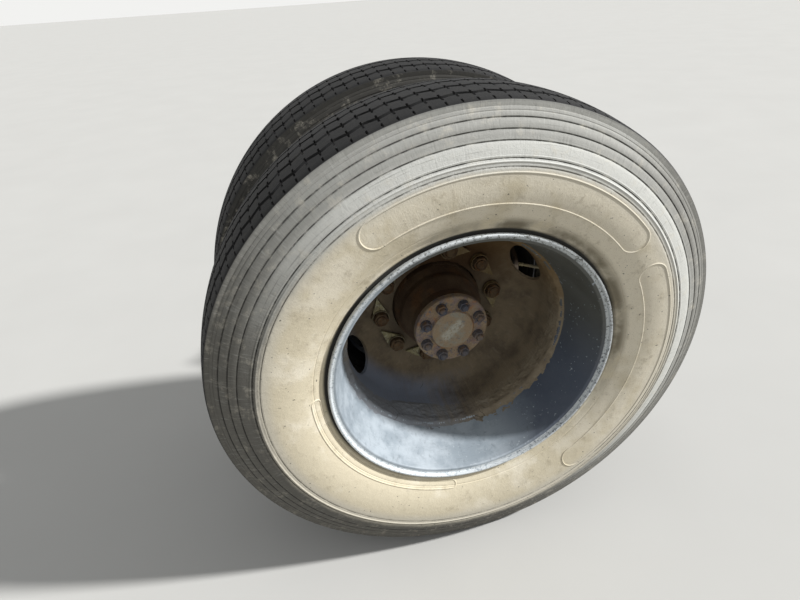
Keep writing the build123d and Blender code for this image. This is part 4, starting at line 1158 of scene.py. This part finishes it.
    def build(self, slot: str) -> list[bpy.types.Object]:
        """Builds casing, tread and panel outlines, and hands them to the turning body.

        Args:
            slot: Not used.

        Returns:
            The objects.
        """
        marks = Surface.joined([self.panel_outline(*panel) for panel in self.panels])
        made = [
            self.casing().to_object(f"{self.node}_casing", self.finish),
            self.tread().to_object(f"{self.node}_tread", self.finish, 28),
            marks.to_object(f"{self.node}_panels", self.finish, 60),
        ]
        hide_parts(self.node)
        for piece in made:
            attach(piece, "wheel_set")
        return made


# Wheels and hub


@dataclass
class DiscWheelDetail:
    """What the pressed discs carry: the weld that holds a disc in its rim, and the mud crust
    that has built up and broken off round the outer disc's edge.

    The weld's middle lies in from the disc's radius and out from its edge. The crust's lengths are
    measured along the disc's face from the start of its bowl. Lumps are a height, the cells round and
    across the wheel, and a seed. The slump is an angle in degrees and a length.
    """

    stations: Stations
    steel: bpy.types.Material
    mud: bpy.types.Material
    wall_t: float = 6.5
    bowl_r: float = 70.0
    weld_middle: Row = (1.5, 0.8)
    weld_size: float = 4.2
    weld_ripple: float = 0.35
    weld_uneven: float = 0.5
    ripples: int = 260
    crust_span: Row = (128.0, 236.0)
    crust_edge: float = 215.0
    crust_starts: float = 142.0
    crust_t: float = 2.0
    crust_fades: Row = (30.0, 2.4)
    crust_sunk: Row = (0.5, 1.5)
    edge_lumps: tuple[Lump, ...] = ((9.0, (11, 1), 11), (7.0, (41, 1), 12), (5.0, (150, 1), 13))
    face_lumps: tuple[Lump, ...] = ((1.2, (120, 12), 14), (0.8, (360, 36), 15))
    slump_lumps: tuple[Lump, ...] = ((0.5, (200, 20), 16),)
    slump: Row = (-112.0, 150.0)
    slump_half: Row = (17.0, 24.0)
    slump_t: float = 3.2
    weld_step: Row = (2.0, 14.0)
    flare_from: float = -417.3
    flare: float = 0.2506

    def weld(self, y: float, towards: float) -> Surface:
        """Fillet weld: a round bead in the corner between the disc's edge and the rim, its size
        rippled by a sine on the way round.

        Args:
            y: Station of the disc's edge.
            towards: Direction of the open side along Y.

        Returns:
            The surface.
        """
        angles, bend = full_turn(self.ripples * 4)[:, None], full_turn(10)
        uneven = lumps(angles / TAU, 0 * angles, (40, 1), 3)
        size = self.weld_size + self.weld_ripple * np.sin(angles * self.ripples) + self.weld_uneven * uneven
        within, beyond = self.weld_middle
        radius = self.stations.disc_radius - within + size * np.cos(bend)
        return swept(round_axis(radius, y + towards * beyond + size * np.sin(bend), angles), ring=True)

    def face_curve(self, length: np.ndarray) -> tuple[np.ndarray, np.ndarray, np.ndarray, np.ndarray]:
        """The outer disc's visible face from mid-bowl out: an arc of the bowl radius, then the
        straight wall, with the outward normal at each point.

        Args:
            length: Distance along the curve from the start of the bowl.

        Returns:
            Radius, station, and the normal's radial and Y parts.
        """
        inner = self.stations.disc_radius - self.wall_t
        centre_r = inner - self.bowl_r
        bowl_end = self.bowl_r * math.pi / 2
        bend = np.clip(length / self.bowl_r, 0, math.pi / 2)
        straight = np.clip(length - bowl_end, 0, None)
        bowl_y = self.stations.nut_face - self.bowl_r
        return (centre_r + self.bowl_r * np.sin(bend), bowl_y + self.bowl_r * np.cos(bend) - straight,
                -np.sin(bend), -np.cos(bend))

    def bed(self, length: np.ndarray) -> tuple[np.ndarray, np.ndarray, np.ndarray, np.ndarray]:
        """What the crust lies on: the disc's face and, past its edge, the rim, whose radius grows by
        a fixed share of the distance from the end of its well. A smooth step joins the two over the weld.

        Args:
            length: Distance along the face curve.

        Returns:
            As face_curve does.
        """
        r, y, normal_r, normal_y = self.face_curve(length)
        past = np.clip((self.stations.disc_end + self.weld_step[0] - y) / self.weld_step[1], 0, 1)
        on_rim = self.stations.disc_radius + 0.1 + self.flare * np.clip(self.flare_from - y, 0, None)
        return r + (on_rim - r) * eased(past), y, normal_r, normal_y

    def crust(self) -> Surface:
        """Mud crust: a sheet over the disc's wall and its weld. Its thickness is a smooth step down
        at a broken outer edge that wanders with the noise, more where the mud has slumped to the
        bottom, and it sinks into the steel where there is none.

        Returns:
            The surface.
        """
        angles = full_turn(1080)[:, None]
        length = np.linspace(*self.crust_span, 60)
        turn, across = np.broadcast_arrays(angles / TAU, np.linspace(0, 1, len(length)))
        edge = self.crust_edge + lumpy(turn, 0 * across, self.edge_lumps)
        (low_angle, low_length), (half_angle, half_length) = self.slump, self.slump_half
        beside = np.abs(np.degrees(angles) - 360 - low_angle) / half_angle
        slump = np.clip(1 - beside, 0, 1) * np.clip(1 - np.abs(length - low_length) / half_length, 0, 1)
        heap = self.slump_t * np.sqrt(slump) * (0.7 + lumpy(turn, across, self.slump_lumps))
        (start_fade, edge_fade), (sunk, under) = self.crust_fades, self.crust_sunk
        outer = np.clip((edge - length) / edge_fade, 0, 1)
        inner = np.clip((length - self.crust_starts) / start_fade + 2.2 * slump, 0, 1)
        body = self.crust_t + lumpy(turn, across, self.face_lumps) + heap
        thick = np.clip(body, sunk, None) * outer ** 0.6 * inner - sunk
        out = np.arange(len(length))
        back = out[::-5]
        lift = np.concatenate([thick, np.full((len(angles), len(back)), -under)], axis=1)
        r, y, normal_r, normal_y = (values[np.concatenate([out, back])] for values in self.bed(length))
        return swept(round_axis(r + normal_r * lift, y + normal_y * lift, angles), ring=True)

    def build(self) -> list[bpy.types.Object]:
        """Builds welds and crust.

        Returns:
            The objects.
        """
        end = self.stations.disc_end
        mirrored = self.stations.outer_rim + self.stations.inner_rim - end
        welds = Surface.joined([self.weld(end, -1), self.weld(mirrored, 1)])
        made = [welds.to_object("disc_welds", self.steel, 60),
                self.crust().to_object("mud_crust", self.mud, 50)]
        for piece in made:
            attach(piece, "wheel_set")
        return made


@dataclass
class TyreValves:
    """Clamped tyre valve in each rim's flank behind its disc. The outer one leans in behind the
    hand hole, through which it is reached; the inner one leans out between the wheels.

    Ends are given as radius, station and angle in degrees from +X towards +Z.
    """

    finish: bpy.types.Material
    outer: tuple[Triple, Triple] = ((271.0, -355.0, 19.5), (214.4, -298.4, 24.5))
    inner: tuple[Triple, Triple] = ((270.0, -141.4, 199.5), (257.0, -200.0, 199.5))
    stem_r: float = 3.4

    def valve(self, root: Triple, tip: Triple) -> Surface:
        """Valve turned on the Y axis, then laid along the line from root to tip.

        Args:
            root: Where it leaves the rim.
            tip: Top of its cap.

        Returns:
            The surface.
        """
        start, end = (round_axis(r, y, np.radians(angle)) for r, y, angle in (root, tip))
        long, r = float(np.linalg.norm(end - start)), self.stem_r
        grommet = [(2 * r, -4.0), (2 * r, 4.0), (1.9 * r, 4.6), (1.6 * r, 5.0), (1.45 * r, 13.0),
                   (1.05 * r, 17.0)]
        stem = [(r, long - 15.0), (0.8 * r, long - 14.6), (0.8 * r, long - 12.6), (1.15 * r, long - 12.2)]
        cap = [(1.22 * r, long - 11.0), (1.22 * r, long - 1.4), (r, long)]
        return aimed(spun(grommet + stem + cap, 24), start, end - start)

    def build(self) -> list[bpy.types.Object]:
        """Builds both valves as one piece.

        Returns:
            The objects.
        """
        both = Surface.joined([self.valve(*self.outer), self.valve(*self.inner)])
        made = both.to_object("tyre_valves", self.finish)
        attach(made, "wheel_set")
        return [made]


@dataclass
class WheelFasteners:
    """Ten two-piece flange nuts with threaded stud ends, and eight drive-flange studs with nuts."""

    stations: Stations
    rust: bpy.types.Material
    oiled: bpy.types.Material
    seat: bpy.types.Material
    pcd: float = 285.75
    count: int = 10
    phase: float = -102.8
    nut_af: float = 33.0
    washer_r: float = 22.0
    washer_t: float = 5.0
    stud_r: float = 11.0
    drive_pcd: float = 133.0
    drive_count: int = 8
    drive_phase: float = 22.5
    drive_nut_af: float = 22.0
    drive_nut_h: float = 14.0
    drive_stud_r: float = 7.0
    drive_stud_end: float = 5.0

    @staticmethod
    def places(count: int, phase: float) -> np.ndarray:
        """Angles of a bolt circle, in radians."""
        return np.radians(phase) + full_turn(count)

    def wheel_nut(self) -> Surface:
        """Two-piece wheel nut: a dished washer, and a hexagon whose corners are turned down at both ends.

        Returns:
            The nut on the Y axis.
        """
        face, top = self.stations.nut_face, self.stations.nut_top
        corner = self.nut_af / math.sqrt(3)
        base = face - self.washer_t
        bore = self.stud_r + 0.1
        washer = turned([(bore, face), (self.washer_r - 1.5, face), (self.washer_r, face - 1.2),
                         (self.washer_r, base + 2.0), (self.washer_r - 2.2, base + 0.4),
                         (corner + 0.6, base + 0.2), (corner - 2, base + 1.0), (bore, base + 1.0)], 48)
        nut = hexagonal([(bore, base + 1.4), (corner - 1.6, base + 1.4), (corner + 1, base - 0.8),
                         (corner + 1, top + 3.4), (corner - 0.6, top + 1.4),
                         (self.nut_af / 2 - 0.5, top + 0.2), (bore + 3.2, top), (bore + 1.6, top + 0.9),
                         (bore, top + 2.6)], self.nut_af)
        return Surface.joined([washer, nut])

    def drive_nut(self) -> Surface:
        """Drive-flange stud: a threaded rod that stands out of the flange, and its nut.

        Returns:
            The fastener on the Y axis.
        """
        face = self.flange_face()
        top = face - self.drive_nut_h
        bore = self.drive_stud_r + 0.1
        corner = self.drive_nut_af / math.sqrt(3)
        nut = hexagonal([(bore, face - 2.4), (corner - 1, face - 2.4), (corner + 1, face - 4),
                         (corner + 1, top + 2.4), (corner - 0.5, top + 0.9),
                         (self.drive_nut_af / 2 - 0.4, top + 0.2), (bore + 2, top), (bore, top + 1.8)],
                        self.drive_nut_af)
        rod = threaded(self.drive_stud_r, 0.7, 1.9, face + 36, self.stations.drive_nut_tip)
        return Surface.joined([nut, rod])

    def drive_washer(self) -> Surface:
        """Split lock washer under a drive nut, as a bevelled ring.

        Returns:
            The washer on the Y axis.
        """
        face = self.flange_face()
        bore, outer = self.drive_stud_r + 0.2, self.drive_nut_af / 2 + 1.6
        return turned([(bore, face + 0.2), (outer - 0.5, face + 0.2), (outer, face - 0.4),
                       (outer, face - 1.8), (outer - 0.6, face - 2.5), (bore, face - 2.5)], 32)

    def flange_face(self) -> float:
        """Station of the drive flange's face under the nuts: the tip plus the stud's end and the nut."""
        return self.stations.drive_nut_tip + self.drive_stud_end + self.drive_nut_h

    def build(self) -> list[bpy.types.Object]:
        """Builds the nuts, stud ends, drive studs and their washers.

        Returns:
            The objects.
        """
        wheel_places = self.places(self.count, self.phase)
        drive_places = self.places(self.drive_count, self.drive_phase)
        turns = np.random.default_rng(7).uniform(0, TAU / 6, self.count)
        drive_turns = np.random.default_rng(8).uniform(0, TAU / 6, self.drive_count)
        nuts = bolt_circle(self.wheel_nut(), self.pcd / 2, wheel_places, turns)
        end = threaded(self.stud_r + 0.25, 0.9, 2.2, self.stations.nut_top + 6, self.stations.stud_tip - 0.2)
        ends = bolt_circle(end, self.pcd / 2, wheel_places)
        drives = bolt_circle(self.drive_nut(), self.drive_pcd / 2, drive_places, drive_turns)
        washers = bolt_circle(self.drive_washer(), self.drive_pcd / 2, drive_places)
        made = [
            nuts.to_object("wheel_nuts_detailed", self.rust, 30),
            ends.to_object("stud_thread_ends", self.rust, 50),
            drives.to_object("drive_studs_detailed", self.oiled, 30),
            washers.to_object("drive_lock_washers", self.seat, 30),
        ]
        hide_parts("wheel_nuts")
        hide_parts("drive_studs")
        for piece in made:
            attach(piece, "wheel_set")
        return made


# Axle end


@dataclass
class AxleEndFittings:
    """Small hardware of the axle end: the dust shield's screws, the bolts and lugs of the chamber's
    clamp bands, the chamber's air ports with their plugs, and the ring that keeps the slack adjuster on.

    A screw or plug is its width across flats, the height of its head, and how far its end stands over
    the head. A band's bolt has two ends, which differ. A lug is its width, height and thickness.
    """

    rust: bpy.types.Material
    zinc: bpy.types.Material
    brass: bpy.types.Material
    screw_places: tuple[float, ...] = (52.0, 128.0, 232.0, 308.0)
    screw_circle: float = 150.0
    screw: Triple = (13.0, 6.0, 0.4)
    band_bolt: Row = (13.0, 8.0)
    band_bolt_ends: Row = (0.4, 5.0)
    plug: Triple = (14.0, 7.0, 0.6)
    shield_t: float = 2.0
    lug: Triple = (18.0, 20.0, 8.0)
    lug_gap: float = 7.0
    waist: float = 14.0
    port_lean: float = 32.0
    cam_end: float = 10.0
    cam_r: float = 19.0

    def bolt(self, flats: float, head: float, shank: float) -> Surface:
        """Flanged hexagon head with its shank end showing in the middle, standing on +Y from y = 0.

        Args:
            flats: Across the flats.
            head: Height of the head.
            shank: How far the shank stands over the head.

        Returns:
            The surface.
        """
        corner, bore = flats / math.sqrt(3), flats * 0.28
        flange = turned([(bore, -0.5), (corner + 2, -0.5), (corner + 2.4, 0.6), (corner + 1.6, 1.6),
                         (corner, 2.0), (bore, 2.0)], 32)
        nut = hexagonal([(bore, 1.6), (corner + 1, 1.6), (corner + 1, head - 1.2), (corner - 0.7, head),
                         (bore + 0.8, head), (bore, head - 0.5)], flats)
        stem = spun([(bore + 0.1, -1.0), (bore + 0.1, head + shank - 0.8), (bore - 0.8, head + shank)], 20)
        return Surface.joined([flange, nut, stem])

    def screws(self) -> Surface:
        """Screws that hold the shield's halves on the spider's ears.

        Returns:
            The surface.
        """
        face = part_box("dust_shield_upper")[0].y / MM + self.shield_t
        screw = self.bolt(*self.screw).shifted(0.0, face, 0.0)
        return bolt_circle(screw, self.screw_circle, np.radians(self.screw_places))

    def clamp(self, joint: np.ndarray, up: float, radius: float) -> Surface:
        """Two lugs of a clamp band and the bolt that draws them together. A lug is a rectangle with round
        corners, x = a sign(cos t) |cos t|^0.4 and the same with the sine, carried along the bolt.

        Args:
            joint: Middle of the band, on the chamber's axis.
            up: 1 for the lugs on top, -1 for those below.
            radius: Outside of the band.

        Returns:
            The surface.
        """
        wide, tall, thick = self.lug
        bend = full_turn(28)
        x, z = (size / 2 * np.sign(wave) * np.abs(wave) ** 0.4
                for size, wave in ((wide, np.cos(bend)), (tall, np.sin(bend))))
        lug_z, bolt_z = up * (tall / 2 - 5.0 + radius), up * (tall / 2 - 1.0 + radius)
        parts = [aimed(spun([(4.2, -self.lug_gap), (4.2, self.lug_gap)], 16), joint + (0.0, 0.0, bolt_z),
                       np.array([0.0, 1.0, 0.0]))]
        for side in (-1, 1):
            y = side * (self.lug_gap / 2 + np.array([[0.0], [thick]]))
            parts.append(swept(np.stack(np.broadcast_arrays(x, y, lug_z + z), -1) + joint, ring=False))
            start = joint + (0.0, side * (self.lug_gap / 2 + thick), bolt_z)
            head = self.bolt(*self.band_bolt, self.band_bolt_ends[side > 0])
            parts.append(aimed(head, start, np.array([0.0, side, 0.0])))
        return Surface.joined(parts)

    def clamps(self) -> Surface:
        """Lugs and bolts above and below on both clamp bands.

        Returns:
            The surface.
        """
        low, high = (np.array(corner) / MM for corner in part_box("clamp_bands"))
        _, middle_y, middle_z = (low + high) / 2
        radius = (high[2] - low[2]) / 2
        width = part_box("service_chamber")[1].x / MM - low[0]
        joints = [np.array([x, middle_y, middle_z]) for x in (low[0] + width, high[0] - width)]
        return Surface.joined([self.clamp(joint, up, radius) for joint in joints for up in (-1.0, 1.0)])

    def ports(self) -> Surface:
        """Two threaded bosses on the chamber's middle case, leaning to both sides of the top, each with
        a hexagon plug and its seal.

        Returns:
            The surface.
        """
        low, high = (np.array(corner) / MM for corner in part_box("clamp_bands"))
        middle = (low + high) / 2
        boss = spun([(12.5, -6.0), (12.5, 9.0), (11.5, 10.2), (6.0, 10.4)], 28)
        seal = turned([(5.0, 10.2), (9.6, 10.2), (9.6, 11.6), (5.0, 11.6)], 28)
        port = Surface.joined([boss, seal, self.bolt(*self.plug).shifted(0.0, 11.8, 0.0)])
        foot = (high[2] - low[2]) / 2 - 9.0 - self.waist
        leans = np.radians([-self.port_lean, self.port_lean])
        ways = np.stack([0 * leans, np.sin(leans), np.cos(leans)], -1)
        return Surface.joined([aimed(port, middle + way * foot, way) for way in ways])

    def keeper(self) -> Surface:
        """Thrust washer and snap ring on the camshaft's splined end, outside the slack adjuster.

        Returns:
            The surface.
        """
        low, high = (np.array(corner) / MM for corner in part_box("camshaft"))
        face = high[1] - self.cam_end
        washer = turned([(self.cam_r, face), (28.0, face), (28.4, face + 0.6), (28.0, face + 2.6),
                         (self.cam_r, face + 2.6)], 40)
        shaded_groove_r = self.cam_r - 0.6
        ring = turned([(shaded_groove_r, face + 2.8), (22.6, face + 2.8), (23.0, face + 3.4), (22.6, face + 5.0),
                       (shaded_groove_r, face + 5.0)], 40)
        return Surface.joined([washer, ring]).shifted((low[0] + high[0]) / 2, 0.0, 0.0)

    def build(self) -> list[bpy.types.Object]:
        """Builds every fitting.

        Returns:
            The objects.
        """
        made = [
            self.screws().to_object("shield_screws", self.rust, 30),
            self.clamps().to_object("band_lugs_and_bolts", self.zinc, 30),
            self.ports().to_object("chamber_ports", self.brass, 30),
            self.keeper().to_object("camshaft_snap_ring", self.rust, 30),
        ]
        for piece, slot in zip(made, ("rusty_steel", "zinc_steel", "zinc_steel", "rusty_steel")):
            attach(piece, "axle_end")
        return made


# Studio


@dataclass(frozen=True)
class Viewpoint:
    """Camera at the photograph's own place and angle."""

    place: Triple = (-0.30177, -1.29497, 0.67051)
    azimuth: float = 11.57
    pitch: float = -31.54
    roll: float = 3.8
    focal: float = 513.09
    frame_width: float = 800.0
    sensor: float = 36.0

    def build(self) -> None:
        """Aims the camera: forward from azimuth and pitch, then a roll about that line."""
        a, p, r = (math.radians(v) for v in (self.azimuth, self.pitch, self.roll))
        ahead = np.array([math.sin(a) * math.cos(p), math.cos(a) * math.cos(p), math.sin(p)])
        level = np.array([math.cos(a), -math.sin(a), 0.0])
        above = np.cross(level, ahead)
        right = level * math.cos(r) - above * math.sin(r)
        up = above * math.cos(r) + level * math.sin(r)
        data = bpy.data.cameras.new("viewpoint")
        data.sensor_width = self.sensor
        data.lens = self.focal * self.sensor / self.frame_width
        data.clip_end = 200.0
        camera = bpy.data.objects.new("viewpoint", data)
        turn = Matrix(np.stack([right, up, -ahead], axis=1).tolist())
        camera.matrix_world = Matrix.Translation(self.place) @ turn.to_4x4()
        bpy.context.scene.collection.objects.link(camera)
        bpy.context.scene.camera = camera


@dataclass(frozen=True)
class Studio:
    """Pale floor, even pale surround, and one soft key from above and behind the bus."""

    floor: float
    towards_key: Triple = (0.77, -0.20, 0.60)
    key_strength: float = 4.7
    key_spread: float = 0.06
    fill: float = 0.52
    sky: str = "#f4f6f8"
    backdrop: str = "#f2f2f0"
    floor_half: float = 60.0
    floor_t: float = 20.0

    def build(self) -> None:
        """Builds the key, the surround and the floor."""
        scene = bpy.context.scene
        lamp = bpy.data.lights.new("soft_key", "SUN")
        lamp.energy = self.key_strength
        lamp.angle = self.key_spread
        key = bpy.data.objects.new("soft_key", lamp)
        key.matrix_world = self.facing().to_4x4()
        scene.collection.objects.link(key)
        world = bpy.data.worlds.new("pale_surround")
        surround = Palette(world)
        light = surround.add(Node.GLOW, self.sky, self.fill)
        backdrop = surround.add(Node.GLOW, self.backdrop, 1.0)
        surround.add(Node.WORLD_OUTPUT, surround.add(Node.EITHER_GLOW, surround.seen, light, backdrop))
        scene.world = world
        half, top = self.floor_half / MM, self.floor / MM
        corners = np.array([[(x * half, y * half, z) for x, y in ((-1, -1), (1, -1), (1, 1), (-1, 1))]
                            for z in (top - self.floor_t, top)])
        slab = swept(corners, ring=False).to_object("studio_floor", PaleStudioFloor().build())
        scene.view_settings.view_transform = "Standard"

    def facing(self) -> Matrix:
        """Rotation that points a lamp's -Z away from the key's direction.

        Returns:
            The 3 x 3 rotation.
        """
        back = np.array(self.towards_key) / np.linalg.norm(self.towards_key)
        side = np.cross((0, 0, 1), back)
        side /= np.linalg.norm(side)
        up = np.cross(back, side)
        return Matrix(np.stack([side, up, back], axis=1).tolist())


# Dressing


@dataclass
class Finishes:
    """Every finish of the wheel and axle end, made once."""

    stations: Stations

    def build(self) -> dict[str, bpy.types.Material]:
        """Makes the materials by name.

        Returns:
            The materials.
        """
        s = self.stations
        made = {
            "outer_rubber": MouldedTyreRubber("moulded_tyre_rubber_outer", s.outer_rim, 1.0),
            # Inner tyre: its wall colours are painted dark, as shade between the wheels.
            "inner_rubber": MouldedTyreRubber("moulded_tyre_rubber_inner", s.inner_rim, 0.12,
                                              weathered="#302f2c", bleach_and_sheen="#413f3a"),
            "rim": SprayedRimEnamel("sprayed_grey_rim_enamel", s.disc_end + 10),
            "mud": DriedMudOnSteel("dried_mud_on_pressed_steel"),
            "crust": DriedMudOnSteel("thick_dried_mud", "#8f826d", "#6b5f4f", "#7a6038",
                                     "#b3a892", "#868a90"),
            # Inner disc: a darker copy of the disc's mud, painted shade between the wheels.
            "dim_mud": DriedMudOnSteel("mud_on_pressed_steel_darkened_as_shade", "#453c31", "#2f2922", "#3a2a17",
                                       "#574e41", "#40454c", "#241708"),
            "hub": RustedIron("cast_iron_hub", "#4c3a2a", "#5d4229", "#231a13", "#6a5a44", 0.45, 40, 1.5),
            "rust": RustedIron("rusted_steel_fasteners", "#4f3d2b", "#684829", "#281d15", "#7b6a4f",
                               0.45, 9, 0.4),
            "drive": RustedIron("oiled_drive_nuts", "#51535d", "#74573b", "#24242a", "#8c7c67", 0.4, 30, 0.3),
            "seat": RustedIron("blued_steel_washers", "#454a55", "#5a4a3e", "#22242a", "#6d6458",
                               0.3, 9, 0.3),
            # Drum: rusty cast iron whose colours are darkened as painted shade inside the wheels.
            "drum": RustedIron("cast_iron_drum", "#33271f", "#4c3220", "#18110d", "#473e33", 0.35, 50, 1.0),
            "flange": ForgedFlangeScale("forged_steel_flange_and_shaft", s.drive_face),
            "pointer": FadedPointerPlastic("moulded_nylon_pointers", s.pointer_top),
            "chassis": CoatedMetal("brushed_black_chassis_paint", Coat.CHASSIS_PAINT),
            "shield": CoatedMetal("dipped_black_sheet_paint", Coat.SHIELD_PAINT),
            "zinc": CoatedMetal("zinc_plated_steel", Coat.ZINC),
            "aluminium": CoatedMetal("die_cast_aluminium", Coat.BARE_ALUMINIUM),
            "brass": CoatedMetal("turned_brass_valves", Coat.DULL_BRASS),
        }
        return {name: finish.build() for name, finish in made.items()}


NODE_FINISH = {
    "outer_rim": "rim", "inner_rim": "rim", "outer_disc": "mud", "inner_disc": "dim_mud",
    "outer_tyre": "outer_rubber", "inner_tyre": "inner_rubber", "hub": "hub", "wheel_studs": "rust",
    "wheel_nuts": "rust", "nut_pointers": "pointer", "brake_drum": "drum", "axle_shaft": "flange",
    "drive_studs": "rust", "spindle": "chassis", "wheel_bearings": "zinc", "brake_spider": "chassis",
    "dust_shield_upper": "shield", "dust_shield_lower": "shield", "cam_tube": "chassis", "camshaft": "rust",
    "slack_adjuster": "zinc", "push_rod": "zinc", "service_chamber": "chassis",
    "spring_chamber": "aluminium", "clamp_bands": "zinc",
}


def dress(nodes: dict[str, bpy.types.Object], finishes: dict[str, bpy.types.Material]) -> None:
    """Gives every CAD node its finish.

    Args:
        nodes: The CAD nodes by name.
        finishes: The materials by name.
    """
    for name, finish in NODE_FINISH.items():
        slots = nodes[name].data.materials
        slots.clear()
        slots.append(finishes[finish])
        LOG.info("%s: %s", name, finishes[finish].name)


def main() -> None:
    """Builds the looks round the frame, in order."""
    logging.basicConfig(level=logging.INFO, format="%(message)s")
    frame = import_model()
    stations = Stations.read()
    finishes = Finishes(stations).build()
    dress(frame["nodes"], finishes)
    assemblies = [
        Tyre("outer_tyre", stations.outer_rim, -1, finishes["outer_rubber"]).build("tyre_rubber"),
        Tyre("inner_tyre", stations.inner_rim, 1, finishes["inner_rubber"]).build("tyre_rubber"),
        DiscWheelDetail(stations, finishes["rim"], finishes["crust"]).build(),
        TyreValves(finishes["brass"]).build(),
        WheelFasteners(stations, finishes["rust"], finishes["drive"], finishes["seat"]).build(),
        AxleEndFittings(finishes["rust"], finishes["zinc"], finishes["brass"]).build(),
    ]
    for pieces in assemblies:
        for piece in pieces:
            LOG.info("%s: %d faces", piece.name, len(piece.data.polygons))
    Studio(stations.floor * MM).build()
    Viewpoint().build()


if __name__ == "__main__":
    main()
